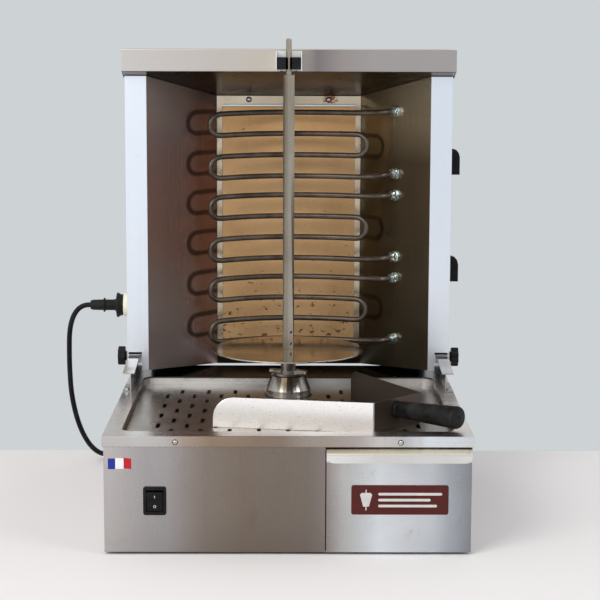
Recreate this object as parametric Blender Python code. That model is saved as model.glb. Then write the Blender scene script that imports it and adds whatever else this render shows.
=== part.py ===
"""Rotisserie oven: a table-top vertical electric grill, in metres, +Z up, front towards -Y.

The origin is on the table under the middle of the machine. A base cabinet carries a sunk drip tray,
a drawer and a gearmotor that turns a vertical spit. A heating head with three bent elements before a
fire brick slides to and from the spit on two rails.
"""

import math

import bmesh
import bpy
from mathutils import Matrix, Vector

# Driving dimensions
HALF_WIDTH = 0.290
HALF_DEPTH = 0.330
GRIP_OUT = 0.014  # the drawer's grip lip stands this far before the front panel
FRONT_Y = -HALF_DEPTH + GRIP_OUT
BASE_DEPTH = 0.600
BASE_BACK_Y = FRONT_Y + BASE_DEPTH
DECK_Z = 0.190
FOOT_HEIGHT = 0.004
SPIT_Y = 0.082
HEAD_FRONT_Y = 0.144
HOOD_FRONT_Y = 0.115
HEAD_BACK_Y = HALF_DEPTH
HOOD_TOP_Z = DECK_Z + 0.592
LIP_Z = DECK_Z + 0.554
RAIL_TOP_Z = DECK_Z + 0.043
MOUTH_HALF = 0.252  # half the heating chamber's width at its mouth
BACK_HALF = 0.134  # and at the brick
BRICK_FRAME_Y = 0.2935
SHEET = 0.0015
THIN = 0.0012
GAP = 0.0003  # clearance between pieces that touch

# Sunk tray
RECESS_HALF = 0.2625
RECESS_FRONT_Y = FRONT_Y + 0.035
RECESS_BACK_Y = FRONT_Y + 0.485
RECESS_CORNER = 0.018
RECESS_DEPTH = 0.015
SLOT_WIDTH = 0.0065
SLOT_LENGTH = 0.034
SLOT_COLUMN_PITCH = 0.0236
SLOT_ROW_PITCH = 0.0399
SLOT_FIRST_Y = FRONT_Y + 0.101
SLOT_COLUMNS = 19
SLOT_ROWS = 9

# Spit drive
CONE_RADIUS = 0.040
CONE_TOP_Z = DECK_Z + 0.021
PLATE_Z = DECK_Z + 0.023
SOCKET_RADIUS = 0.0135
SOCKET_TOP_Z = PLATE_Z + 0.020
BAR_SIDE = 0.014
BAR_TOP_Z = DECK_Z + 0.549
PIN_TOP_Z = DECK_Z + 0.611
PIN_RADIUS = 0.005
DISC_RADIUS = 0.134
DISC_TOP_Z = DECK_Z + 0.068
DISC_THICK = 0.003
DISC_STEP = 0.021

# Heating elements
ELEMENT_RADIUS = 0.004
ELEMENT_PITCH = 0.039
ELEMENT_CENTRES_Z = (0.6085, 0.4565, 0.3045)
BOW_RADIUS = 0.333
BOW_MIDDLE_Y = 0.264
PASS_HALF = 0.124

# Controls
SWITCH_X = -0.208
SWITCH_Z = 0.0865
CONTROL_Y = 0.234
CONTROLS_Z = (0.579, 0.382)
CLAMP_Y = 0.168
CLAMP_Z = 0.225
PLUG_Y = 0.239
PLUG_Z = 0.312
GLAND_X = -0.200
GLAND_Z = 0.060
CORD_RADIUS = 0.00475

DRAWER_LEFT_X = 0.060
DRAWER_RIGHT_X = 0.287

# Scoop: its four corners on the tray, seen from above, its mouth between the first and the last
SCOOP_CORNERS = ((-0.1225, -0.184), (0.136, -0.227), (0.218, -0.146), (0.110, 0.027))
SCOOP_HEIGHT = 0.0485  # at the front wall; it rises towards the rear one
SCOOP_RISE = 0.0233

for old in list(bpy.data.objects):
    bpy.data.objects.remove(old, do_unlink=True)


# Materials

def material(name, colour, roughness, metallic):
    made = bpy.data.materials.new(name)
    made.use_nodes = True
    shader = made.node_tree.nodes["Principled BSDF"]
    shader.inputs["Base Color"].default_value = (*colour, 1.0)
    shader.inputs["Roughness"].default_value = roughness
    shader.inputs["Metallic"].default_value = metallic
    return made


STEEL = material("brushed_steel", (0.62, 0.60, 0.57), 0.35, 1.0)
TINTED = material("heat_tinted_steel", (0.36, 0.31, 0.26), 0.25, 1.0)
BRICK = material("fire_brick", (0.62, 0.43, 0.25), 0.95, 0.0)
ELEMENT = material("element_sheath", (0.06, 0.055, 0.05), 0.5, 0.4)
ZINC = material("zinc", (0.55, 0.62, 0.64), 0.3, 1.0)
BLACK = material("black_plastic", (0.015, 0.015, 0.017), 0.45, 0.0)
RUBBER = material("black_rubber", (0.02, 0.02, 0.02), 0.7, 0.0)
CREAM = material("cream_plastic", (0.78, 0.72, 0.58), 0.4, 0.0)
RED = material("badge_red", (0.18, 0.02, 0.02), 0.4, 0.0)
MOTOR = material("motor_grey", (0.30, 0.31, 0.32), 0.5, 0.8)


# Modelling tools

def place(axis, across, up, along):
    """The point at (across, up) in the plane that axis stands on, and at along on the axis."""
    if axis == "X":
        return Vector((along, across, up))
    if axis == "Y":
        return Vector((across, along, up))
    return Vector((across, up, along))


def finished(name, shape, finish, smooth=True):
    bmesh.ops.recalc_face_normals(shape, faces=shape.faces)
    mesh = bpy.data.meshes.new(name)
    shape.to_mesh(mesh)
    shape.free()
    mesh.materials.append(finish)
    if smooth:
        mesh.shade_smooth()
        mesh.set_sharp_from_angle(angle=math.radians(35))
    made = bpy.data.objects.new(name, mesh)
    bpy.context.scene.collection.objects.link(made)
    return made


def prism(name, outline, axis, low, high, finish=STEEL):
    """An outline in the plane across axis, extruded from low to high along it."""
    shape = bmesh.new()
    face = shape.faces.new([shape.verts.new(place(axis, u, v, low)) for u, v in outline])
    moved = bmesh.ops.extrude_face_region(shape, geom=[face])["geom"]
    step = place(axis, 0, 0, high - low)
    bmesh.ops.translate(shape, vec=step, verts=[g for g in moved if isinstance(g, bmesh.types.BMVert)])
    return finished(name, shape, finish)


def box(name, low, high, finish=STEEL):
    outline = [(low[0], low[1]), (high[0], low[1]), (high[0], high[1]), (low[0], high[1])]
    return prism(name, outline, "Z", low[2], high[2], finish)


def arc(centre, radius, start, end, steps):
    """Points on an arc, angles in degrees, both ends included."""
    angles = [math.radians(start + (end - start) * i / steps) for i in range(steps + 1)]
    return [(centre[0] + radius * math.cos(a), centre[1] + radius * math.sin(a)) for a in angles]


def rounded(low, high, radius, steps=4):
    """A rectangle with round corners."""
    (x0, y0), (x1, y1) = low, high
    corners = ((x1, y0, -90), (x1, y1, 0), (x0, y1, 90), (x0, y0, 180))
    points = []
    for x, y, start in corners:
        centre = (x - radius if x == x1 else x + radius, y - radius if y == y1 else y + radius)
        points += arc(centre, radius, start, start + 90, steps)
    return points


def folded(path, thickness):
    """The outline of a sheet folded along a path, its thickness on the path's left side."""
    points = [Vector(p) for p in path]
    inner = []
    for i, point in enumerate(points):
        before = (point - points[i - 1]).normalized() if i else None
        after = (points[i + 1] - point).normalized() if i + 1 < len(points) else None
        sides = [Vector((-d.y, d.x)) for d in (before, after) if d is not None]
        side = sum(sides, Vector((0, 0))).normalized()
        inner.append(point + side * thickness / side.dot(sides[0]))
    return [tuple(p) for p in points + inner[::-1]]


def turned(name, profile, axis, centre, finish=STEEL, steps=24):
    """A solid of revolution. profile holds (radius, distance along axis) points, from axis to axis or closed."""
    shape = bmesh.new()
    closed = all(radius > 0 for radius, _ in profile)
    rings = []
    for radius, along in profile:
        count = steps if radius > 0 else 1
        ring = []
        for k in range(count):
            angle = 2 * math.pi * (k + 0.5) / steps
            offset = place(axis, radius * math.cos(angle), radius * math.sin(angle), along)
            ring.append(shape.verts.new(Vector(centre) + offset))
        rings.append(ring)
    pairs = list(zip(rings, rings[1:]))
    if closed:
        pairs.append((rings[-1], rings[0]))
    for first, second in pairs:
        for k in range(steps):
            after = (k + 1) % steps
            corners = [first[k % len(first)], first[after % len(first)]]
            corners += [second[after % len(second)], second[k % len(second)]]
            shape.faces.new(list(dict.fromkeys(corners)))
    return finished(name, shape, finish)


def boolean(target, other, operation):
    modifier = target.modifiers.new(other.name, "BOOLEAN")
    modifier.operation = operation
    modifier.object = other
    other.hide_render = True
    other.display_type = "WIRE"


def cut(target, *cutters):
    for cutter in cutters:
        boolean(target, cutter, "DIFFERENCE")
    return target


def joined(target, *others):
    for other in others:
        boolean(target, other, "UNION")
    return target


def tube(name, points, radius, finish, resolution=2):
    """A round tube along points, with closed ends."""
    curve = bpy.data.curves.new(name, "CURVE")
    curve.dimensions = "3D"
    curve.bevel_depth = radius
    curve.bevel_resolution = resolution
    curve.use_fill_caps = True
    spline = curve.splines.new("POLY")
    spline.points.add(len(points) - 1)
    for target, point in zip(spline.points, points):
        target.co = (*point, 1.0)
    curve.materials.append(finish)
    made = bpy.data.objects.new(name, curve)
    bpy.context.scene.collection.objects.link(made)
    return made


def smooth_route(route, spacing):
    """Points at about this spacing on a Catmull-Rom curve through the route's own points."""
    knots = [Vector(p) for p in route]
    ends = [2 * knots[0] - knots[1], *knots, 2 * knots[-1] - knots[-2]]
    points = []
    for a, b, c, d in zip(ends, ends[1:], ends[2:], ends[3:]):
        steps = max(1, round((c - b).length / spacing))
        for i in range(steps):
            t = i / steps
            points.append(
                0.5 * (2 * b + (c - a) * t + (2 * a - 5 * b + 4 * c - d) * t**2 + (3 * b - a - 3 * c + d) * t**3)
            )
    return [*points, knots[-1]]


def wall(name, start, end, outline, base_z, thickness, finish=STEEL):
    """An upright plate from start towards end, both (x, y). outline holds (along, up) points."""
    along = (Vector(end) - Vector(start)).normalized()
    plate = prism(name, outline, "Y", 0, thickness, finish)
    turn = Matrix.Rotation(math.atan2(along.y, along.x), 4, "Z")
    plate.data.transform(Matrix.Translation((*start, base_z)) @ turn)
    return plate


# Base cabinet

def base_shell():
    panel_half = HALF_WIDTH - 0.0025
    shell = box("base_shell", (-panel_half, FRONT_Y + SHEET + GAP, FOOT_HEIGHT), (panel_half, BASE_BACK_Y, 0.188))
    inside = box(
        "base_shell_inside",
        (-panel_half + SHEET, FRONT_Y - 0.01, FOOT_HEIGHT + SHEET),
        (panel_half - SHEET, BASE_BACK_Y - SHEET, DECK_Z + 0.01),
    )
    gland_hole = turned(
        "gland_hole", [(0, -0.01), (0.0105, -0.01), (0.0105, 0.01), (0, 0.01)], "Y", (GLAND_X, BASE_BACK_Y, GLAND_Z), steps=20
    )
    cut(shell, inside, gland_hole)


def front_panel():
    right = DRAWER_LEFT_X - SHEET
    left = -HALF_WIDTH + 0.0025
    outline = folded([(left, FRONT_Y), (right, FRONT_Y), (right, FRONT_Y + 0.015)], SHEET)
    panel = prism("front_panel", outline, "Z", FOOT_HEIGHT, 0.188)
    opening = box(
        "switch_opening", (SWITCH_X - 0.015, FRONT_Y - 0.01, SWITCH_Z - 0.019), (SWITCH_X + 0.015, FRONT_Y + 0.01, SWITCH_Z + 0.019)
    )
    floor_notch = box("panel_floor_notch", (right - 0.01, FRONT_Y + SHEET, 0), (right + 0.01, FRONT_Y + 0.02, FOOT_HEIGHT + SHEET + GAP))
    cut(panel, opening, floor_notch)


def recess_prism(name, grow, low, high):
    corners = ((-RECESS_HALF - grow, RECESS_FRONT_Y - grow), (RECESS_HALF + grow, RECESS_BACK_Y + grow))
    return prism(name, rounded(*corners, RECESS_CORNER + grow), "Z", low, high)


def deck_lid():
    skirt_z = DECK_Z - 0.0172
    flange_z = DECK_Z - RECESS_DEPTH - 0.0013
    lid = box("deck_lid", (-HALF_WIDTH, FRONT_Y - 0.0025, skirt_z), (HALF_WIDTH, BASE_BACK_Y + 0.0025, DECK_Z))
    hollow = box(
        "deck_lid_hollow",
        (-HALF_WIDTH + SHEET, FRONT_Y - 0.001, skirt_z - 0.01),
        (HALF_WIDTH - SHEET, BASE_BACK_Y + 0.001, DECK_Z - SHEET),
    )
    cut(lid, hollow)
    joined(lid, recess_prism("recess_block", SHEET, flange_z - THIN, DECK_Z - 0.0002))
    cut(lid, recess_prism("recess_space", 0, flange_z, DECK_Z + 0.01), recess_prism("recess_opening", -0.009, 0.15, DECK_Z))


def slot_places():
    """The centres of the tray's slots: columns from left to right, every second one a row further back."""
    places = []
    for column in range(SLOT_COLUMNS):
        x = (column - (SLOT_COLUMNS - 1) / 2) * SLOT_COLUMN_PITCH
        for row in range((column + 1) % 2, SLOT_ROWS, 2):
            y = SLOT_FIRST_Y + row * SLOT_ROW_PITCH
            if math.hypot(x, y - SPIT_Y) > CONE_RADIUS + 0.030:
                places.append((x, y))
    return places


def perforated_tray():
    top = DECK_Z - RECESS_DEPTH + 0.0002
    tray = recess_prism("perforated_tray", -0.0005, top - THIN, top)
    shape = bmesh.new()
    for x, y in slot_places():
        move = Matrix.Translation((x, y, top)) @ Matrix.Diagonal((SLOT_WIDTH, SLOT_LENGTH, 0.01, 1))
        bmesh.ops.create_cube(shape, size=1, matrix=move)
    slots = finished("tray_slots", shape, STEEL)
    hole = turned(
        "tray_hole", [(0, -0.01), (CONE_RADIUS + 0.0025, -0.01), (CONE_RADIUS + 0.0025, 0.01), (0, 0.01)], "Z", (0, SPIT_Y, top)
    )
    cut(tray, slots, hole)


def drip_pan():
    """Catches the fat under the perforated tray and drains it into the drawer."""
    low, high = (-0.250, RECESS_FRONT_Y + 0.010), (0.250, RECESS_BACK_Y - 0.010)
    bottom, top = 0.152, 0.1715
    collar = CONE_RADIUS + 0.004
    pan = box("drip_pan", (*low, bottom), (*high, top))
    hollow = box("drip_pan_hollow", (low[0] + THIN, low[1] + THIN, bottom + THIN), (high[0] - THIN, high[1] - THIN, 0.18))
    centre = (0, SPIT_Y, 0)
    ring = [(collar, bottom + 0.0004), (collar + THIN, bottom + 0.0004), (collar + THIN, top - 0.001), (collar, top - 0.001)]
    cone_hole = turned("drip_pan_hole", [(0, 0.14), (collar, 0.14), (collar, 0.18), (0, 0.18)], "Z", centre)
    drain = turned("drip_pan_drain", [(0, 0.14), (0.02, 0.14), (0.02, 0.18), (0, 0.18)], "Z", (0.17, -0.11, 0), steps=16)
    cut(pan, hollow)
    joined(pan, turned("drip_pan_collar", ring, "Z", centre))
    cut(pan, cone_hole, drain)


def drawer_bay():
    divider_x = 0.0535
    box("drawer_divider", (divider_x, FRONT_Y + 0.003, 0.0058), (divider_x + SHEET, 0.240, 0.150))
    side_x = HALF_WIDTH - 0.0025 - SHEET
    for name, web_x, shelf_x in (("drawer_runner_left", divider_x + SHEET + GAP, 0.078), ("drawer_runner_right", side_x - GAP, 0.264)):
        side = 1 if shelf_x > web_x else -1
        path = [(web_x, 0.045), (web_x, 0.018), (shelf_x, 0.018)]
        outline = folded(path, THIN * side)
        prism(name, outline, "Y", FRONT_Y + 0.018, -0.010)


def switch():
    bezel = prism(
        "switch_bezel",
        rounded((SWITCH_X - 0.018, SWITCH_Z - 0.0225), (SWITCH_X + 0.018, SWITCH_Z + 0.0225), 0.003, 2),
        "Y", FRONT_Y - 0.0035, FRONT_Y - GAP, BLACK,
    )
    body = box(
        "switch_body",
        (SWITCH_X - 0.0147, FRONT_Y - 0.002, SWITCH_Z - 0.0187),
        (SWITCH_X + 0.0147, FRONT_Y + 0.024, SWITCH_Z + 0.0187),
        BLACK,
    )
    pocket = box(
        "switch_pocket",
        (SWITCH_X - 0.0132, FRONT_Y - 0.01, SWITCH_Z - 0.0172),
        (SWITCH_X + 0.0132, FRONT_Y + 0.010, SWITCH_Z + 0.0172),
    )
    joined(bezel, body)
    cut(bezel, pocket)
    # The rocker's two faces meet at its pivot's height. It rests with the lower one pushed in.
    pivot = Vector((FRONT_Y + 0.004, SWITCH_Z))
    tilt = Matrix.Rotation(math.radians(7), 2)
    corners = [(-0.0062, 0.0), (-0.0078, 0.0160), (0.0030, 0.0110), (0.0030, -0.0110), (-0.0078, -0.0160)]
    outline = [tuple(pivot + tilt @ Vector(corner)) for corner in corners]
    prism("rocker", outline, "X", SWITCH_X - 0.0126, SWITCH_X + 0.0126, BLACK)


def feet():
    profile = [(0, 0), (0.014, 0), (0.016, 0.002), (0.016, FOOT_HEIGHT - GAP), (0, FOOT_HEIGHT - GAP)]
    for side, x in (("left", -0.250), ("right", 0.250)):
        for end, y in (("front", FRONT_Y + 0.040), ("back", BASE_BACK_Y - 0.040)):
            turned(f"foot_{end}_{side}", profile, "Z", (x, y, 0), RUBBER, 16)


def gearmotor():
    centre = (0, SPIT_Y, 0)
    gearbox = box("gearmotor", (-0.045, SPIT_Y - 0.040, 0.085), (0.045, SPIT_Y + 0.040, 0.136), MOTOR)
    can = turned("motor_can", [(0, 0.020), (0.029, 0.020), (0.031, 0.024), (0.031, 0.09), (0, 0.09)], "Z", centre, MOTOR)
    boss = turned("motor_boss", [(0, 0.13), (0.012, 0.13), (0.012, 0.1465), (0, 0.1465)], "Z", centre, MOTOR)
    bore = turned("motor_bore", [(0, 0.126), (0.0064, 0.126), (0.0064, 0.15), (0, 0.15)], "Z", centre, MOTOR, 16)
    joined(gearbox, can, boss)
    cut(gearbox, bore)
    # An inverted U, standing on the floor, carries the gearmotor and the cone.
    top, reach = 0.1495, 0.048
    path = [(SPIT_Y - reach, 0.0058), (SPIT_Y - reach, top), (SPIT_Y + reach, top), (SPIT_Y + reach, 0.0058)]
    bracket = prism("motor_bracket", folded(path, -0.002), "X", -0.046, 0.046)
    hole = turned("bracket_hole", [(0, 0.14), (0.0125, 0.14), (0.0125, 0.16), (0, 0.16)], "Z", centre, steps=16)
    cut(bracket, hole)


def hub_cone():
    """The shaft's fixed housing, a straight band under a cone, standing up through the tray."""
    profile = [
        (0.0085, 0.1498), (CONE_RADIUS, 0.1498), (CONE_RADIUS, DECK_Z - 0.003), (0.029, CONE_TOP_Z), (0.0085, CONE_TOP_Z)
    ]
    turned("hub_cone", profile, "Z", (0, SPIT_Y, 0), STEEL, 40)


def slide_rails():
    """A foot on the deck, an upright web, and a flange that dips towards its front, where no shoe rides on it."""
    front, back = FRONT_Y + 0.345, BASE_BACK_Y - 0.004
    foot, low, top = DECK_Z + GAP, DECK_Z + 0.0335, RAIL_TOP_Z
    ridge = [(front, low), (0.118, top), (back, top)]
    for name, side in (("slide_rail_left", -1), ("slide_rail_right", 1)):
        ends = sorted((0.268 * side, 0.2885 * side))
        rail = prism(name, folded(ridge, -0.002), "X", *ends)
        sides = sorted((0.274 * side, 0.276 * side))
        web = [(front, foot), (back, foot), (back, top - 0.001), (0.118, top - 0.001), (front, low - 0.001)]
        ends = sorted((0.274 * side, 0.2885 * side))
        joined(
            rail,
            prism(f"{name}_web", web, "X", *sides),
            box(f"{name}_foot", (ends[0], front, foot), (ends[1], back, foot + 0.002)),
        )


def drawer():
    z0, z1 = FOOT_HEIGHT, DECK_Z - 0.019
    path = [(FRONT_Y, z0), (FRONT_Y, z1), (-HALF_DEPTH + 0.003, z1 - 0.006), (-HALF_DEPTH, z1 - 0.009), (-HALF_DEPTH, z1 - 0.021)]
    # The sheet's thickness lies behind the front and under the grip.
    outline = [
        (FRONT_Y + SHEET, z0), (FRONT_Y + SHEET, z1), path[1], path[2], path[3], path[4],
        (path[4][0] + SHEET, path[4][1]), (path[3][0] + SHEET, path[3][1] + 0.0007), (FRONT_Y, z1 - SHEET - 0.0005), path[0],
    ]
    front = prism("drawer_front", outline, "X", DRAWER_LEFT_X, DRAWER_RIGHT_X)
    # The grip's lower corners are rounded off.
    radius, edge = 0.011, z1 - 0.021
    for name, x, inward in (("left", DRAWER_LEFT_X, 1), ("right", DRAWER_RIGHT_X, -1)):
        corner = [(x - 0.001 * inward, edge - 0.001), (x + radius * inward, edge - 0.001)]
        corner += [(x + (radius + u) * inward, edge + radius + v) for u, v in arc((0, 0), radius, 270, 180, 4)]
        corner += [(x - 0.001 * inward, edge + radius)]
        cut(front, prism(f"grip_corner_{name}", corner, "Y", -HALF_DEPTH - 0.002, -HALF_DEPTH + 0.004))
    low = (0.0705, FRONT_Y + SHEET + GAP, 0.0195)
    high = (0.2715, -0.016, 0.105)
    tray = box("drawer_tray", low, high)
    inside = box(
        "drawer_tray_inside", (low[0] + THIN, low[1] + THIN, low[2] + THIN), (high[0] - THIN, high[1] - THIN, high[2] + 0.01)
    )
    cut(tray, inside)
    plate = rounded((0.099, 0.065), (0.251, 0.112), 0.003, 2)
    prism("badge", plate, "Y", FRONT_Y - GAP - 0.001, FRONT_Y - GAP, RED)


# Spit

def square(side):
    """A square standing on its corner, round the spit's axis."""
    return [(side * math.sqrt(0.5) * x, SPIT_Y + side * math.sqrt(0.5) * y) for x, y in ((1, 0), (0, 1), (-1, 0), (0, -1))]


def drive_coupling():
    profile = [
        (0, 0.128), (0.006, 0.128), (0.006, PLATE_Z - 0.001), (0.012, PLATE_Z - 0.001), (0.012, PLATE_Z), (0.031, PLATE_Z),
        (0.031, PLATE_Z + 0.0035), (SOCKET_RADIUS, PLATE_Z + 0.0035), (SOCKET_RADIUS, SOCKET_TOP_Z), (0, SOCKET_TOP_Z),
    ]
    coupling = turned("drive_coupling", profile, "Z", (0, SPIT_Y, 0), STEEL, 32)
    claws = box("coupling_claws", (-0.034, -0.005, PLATE_Z + 0.002), (0.034, 0.005, PLATE_Z + 0.007))
    claws.data.transform(Matrix.Translation((0, SPIT_Y, 0)) @ Matrix.Rotation(math.radians(-20), 4, "Z"))
    joined(coupling, claws)
    cut(coupling, prism("coupling_socket", square(BAR_SIDE + 2 * GAP), "Z", PLATE_Z + 0.0055, SOCKET_TOP_Z + 0.01))


def spit_bar():
    bar = prism("spit_bar", square(BAR_SIDE), "Z", PLATE_Z + 0.0058, BAR_TOP_Z)
    tip = PIN_TOP_Z - 0.002
    profile = [(0, BAR_TOP_Z - 0.005), (PIN_RADIUS, BAR_TOP_Z - 0.005), (PIN_RADIUS, tip), (0.003, PIN_TOP_Z), (0, PIN_TOP_Z)]
    joined(bar, turned("spit_pin", profile, "Z", (0, SPIT_Y, 0), STEEL, 16))
    for k in (1, 2):
        hole = turned("bar_hole_%d" % k, [(0, -0.02), (0.0025, -0.02), (0.0025, 0.02), (0, 0.02)], "X", (0, 0, 0), STEEL, 12)
        turn = Matrix.Rotation(math.radians(-45), 4, "Z")
        hole.data.transform(Matrix.Translation((0, SPIT_Y, DISC_TOP_Z - 0.012 + k * DISC_STEP)) @ turn)
        cut(bar, hole)


def meat_disc():
    low = SOCKET_TOP_Z + GAP
    under = DISC_TOP_Z - DISC_THICK
    profile = [
        (0, low), (SOCKET_RADIUS, low), (SOCKET_RADIUS, under), (DISC_RADIUS - 0.0005, under), (DISC_RADIUS, under + 0.0005),
        (DISC_RADIUS, DISC_TOP_Z - 0.0005), (DISC_RADIUS - 0.0005, DISC_TOP_Z), (0, DISC_TOP_Z),
    ]
    disc = turned("meat_disc", profile, "Z", (0, SPIT_Y, 0), STEEL, 64)
    cut(disc, prism("disc_hole", square(BAR_SIDE + 2 * GAP), "Z", low - 0.01, DISC_TOP_Z + 0.01))


# Heating head

def ceiling_z(y):
    """The height of the sloping ceiling's underside."""
    back_y, back_z = 0.294, DECK_Z + 0.507
    return LIP_Z - 0.0005 + (y - HOOD_FRONT_Y) * (back_z - LIP_Z) / (back_y - HOOD_FRONT_Y)


def head_side(name, side):
    """The folded outer sheet: the bright front face of the column, the side and a flange at the back."""
    x, back = HALF_WIDTH * side, HEAD_BACK_Y - 0.002
    low, notch, top = DECK_Z + 0.030, DECK_Z + 0.050, DECK_Z + 0.545
    path = [(MOUTH_HALF * side, HEAD_FRONT_Y), (x, HEAD_FRONT_Y), (x, back), (0.278 * side, back)]
    sheet = prism(name, folded(path, THIN * side), "Z", notch, top)
    inner = x - THIN * side

    def strip(label, x_range, y_range, z_range):
        return box(
            f"{name}_{label}", (min(x_range), min(y_range), min(z_range)), (max(x_range), max(y_range), max(z_range))
        )

    lower = strip("lower", (inner, x), (0.152, back), (low, notch + 0.002))
    ride = RAIL_TOP_Z + 2 * GAP
    shoe = strip("shoe", (0.266 * side, x), (0.152, back), (ride, ride + THIN))
    leg = strip("leg", (MOUTH_HALF * side, 0.264 * side), (HEAD_FRONT_Y, HEAD_FRONT_Y + THIN), (DECK_Z + 0.017, notch + 0.002))
    upper = strip("upper", (inner, x), (0.150, back), (top - 0.002, DECK_Z + 0.551))
    joined(sheet, lower, shoe, leg, upper)
    clamp_hole = turned(
        f"{name}_clamp_hole", [(0, -0.01), (0.0045, -0.01), (0.0045, 0.01), (0, 0.01)], "X", (x, CLAMP_Y, CLAMP_Z + 0.004), steps=12
    )
    cut(sheet, clamp_hole)
    return sheet


def head_sides():
    left = head_side("head_side_left", -1)
    hole = [(0, -0.01), (0.0175, -0.01), (0.0175, 0.01), (0, 0.01)]
    cut(left, turned("socket_hole", hole, "X", (-HALF_WIDTH, PLUG_Y, PLUG_Z), steps=24))
    right = head_side("head_side_right", 1)
    hole = [(0, -0.01), (0.004, -0.01), (0.004, 0.01), (0, 0.01)]
    for k, z in enumerate(CONTROLS_Z):
        cut(right, turned(f"control_hole_{k}", hole, "X", (HALF_WIDTH, CONTROL_Y, z), steps=12))


def hood():
    half = HALF_WIDTH + 0.0035
    skirt_z = LIP_Z - 0.0125
    outline = [
        (HOOD_FRONT_Y, HOOD_TOP_Z), (HOOD_FRONT_Y, LIP_Z), (0.150, skirt_z), (HEAD_BACK_Y, skirt_z), (HEAD_BACK_Y, HOOD_TOP_Z)
    ]
    cover = prism("hood", outline, "X", -half, half)
    inside = box(
        "hood_inside", (-half + SHEET, HOOD_FRONT_Y + SHEET, 0.6), (half - SHEET, HEAD_BACK_Y - SHEET, HOOD_TOP_Z - SHEET)
    )
    cut(cover, inside)


def sloping_ceiling():
    """One sheet from the hood's lip down to the brick, wider over the columns."""
    wide, narrow = HALF_WIDTH + 0.0015, HALF_WIDTH - THIN - 0.0005
    front, shoulder, back = HOOD_FRONT_Y + SHEET + GAP, HEAD_FRONT_Y - 0.0005, HEAD_BACK_Y - 0.010
    outline = [
        (-wide, front), (wide, front), (wide, shoulder), (narrow, shoulder), (narrow, back), (-narrow, back), (-narrow, shoulder),
        (-wide, shoulder),
    ]
    ceiling = prism("ceiling_reflector", outline, "Z", 0, THIN, TINTED)
    for vertex in ceiling.data.vertices:
        vertex.co.z += ceiling_z(vertex.co.y)


def reflector_ends(side):
    """The chamber's side walls run between these two (x, y) points."""
    return Vector((MOUTH_HALF * side, HEAD_FRONT_Y + 0.0018)), Vector((BACK_HALF * side, BRICK_FRAME_Y - 0.0012))


def reflector(name, side):
    """A side wall of the chamber, from the column's face back to the brick."""
    front, back = reflector_ends(side)
    length = (back - front).length
    low_front, low_back = DECK_Z + 0.017, DECK_Z + 0.003
    outline = [(0, low_front), (length, low_back), (length, ceiling_z(back.y) - 0.0005), (0, ceiling_z(front.y) - 0.0005)]
    return wall(name, front, back, outline, 0, THIN * -side, TINTED)


def brick_frame():
    low, high = DECK_Z + 0.003, ceiling_z(BRICK_FRAME_Y) - 0.0008
    window_low, window_high = DECK_Z + 0.025, DECK_Z + 0.486
    frame = box("brick_frame", (-BACK_HALF + 0.0004, BRICK_FRAME_Y, low), (BACK_HALF - 0.0004, BRICK_FRAME_Y + THIN, high))
    window = box("brick_window", (-0.1235, BRICK_FRAME_Y - 0.01, window_low), (0.1235, BRICK_FRAME_Y + 0.01, window_high))
    lip = box("brick_lip", (-0.1235, BRICK_FRAME_Y - 0.004, window_high), (0.1235, BRICK_FRAME_Y + 0.0005, window_high + 0.003))
    cut(frame, window)
    joined(frame, lip)
    box("fire_brick", (-0.128, BRICK_FRAME_Y + THIN + GAP, DECK_Z + 0.012), (0.128, 0.318, ceiling_z(0.318) - 0.0015), BRICK)


def head_back():
    y0, y1 = HEAD_BACK_Y - SHEET + GAP, HEAD_BACK_Y
    panel = box("head_back", (-0.2885, y0, RAIL_TOP_Z + 2 * GAP), (0.2885, y1, LIP_Z - 0.013))
    # Between the rails it reaches down past the deck's back edge.
    joined(panel, box("head_back_skirt", (-0.262, y0, DECK_Z - 0.004), (0.262, y1, RAIL_TOP_Z + 0.010)))
    shape = bmesh.new()
    for x in (-0.200, 0.200):
        for k in range(6):
            move = Matrix.Translation((x, y0, 0.50 + 0.022 * k)) @ Matrix.Diagonal((0.10, 0.02, 0.006, 1))
            bmesh.ops.create_cube(shape, size=1, matrix=move)
    cut(panel, finished("back_vents", shape, STEEL))


def bow_y(x):
    """The elements bow back round the meat: the depth of a pass at x."""
    return BOW_MIDDLE_Y - BOW_RADIUS + math.sqrt(BOW_RADIUS**2 - x**2)


def sag(x):
    """The free left ends of the passes hang a little."""
    return -0.003 * max(0, -x / PASS_HALF) ** 2


def terminal_spot():
    """Where the leads pass through the right reflector, and the outward direction square to it."""
    front, back = reflector_ends(1)
    along = (back - front).normalized()
    return front + (back - front) * 0.485, Vector((along.y, -along.x))


def terminal(z, rise):
    """The lead from the end of a pass to the right reflector, which it enters square."""
    spot, out = terminal_spot()
    places = ((0.154, 0.224), (0.166, 0.2135), (0.1755, 0.2075), spot - out * 0.012, spot + out * 0.020)
    return [(x, y, z + rise * min(1, (i + 1) / 4)) for i, (x, y) in enumerate(places)]


def element_route(centre_z):
    """Four passes joined by three round bends, with both leads on the right."""
    bend = ELEMENT_PITCH / 2
    heights = [centre_z + ELEMENT_PITCH * k for k in (1.5, 0.5, -0.5, -1.5)]
    points = terminal(heights[0], 0.004)[::-1]
    xs = [PASS_HALF * k / 3 for k in (3, 2, 1, 0, -1, -2, -3)]
    for number, z in enumerate(heights):
        ordered = xs if number % 2 == 0 else xs[::-1]
        points += [(x, bow_y(x), z + sag(x)) for x in ordered]
        if number == 3:
            break
        side = -1 if number % 2 == 0 else 1
        for k in range(1, 6):
            angle = math.pi * k / 6
            x = side * (PASS_HALF + bend * math.sin(angle))
            points.append((x, bow_y(x), z - bend + bend * math.cos(angle) + sag(x)))
    return points + terminal(heights[3], 0.008)


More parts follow.
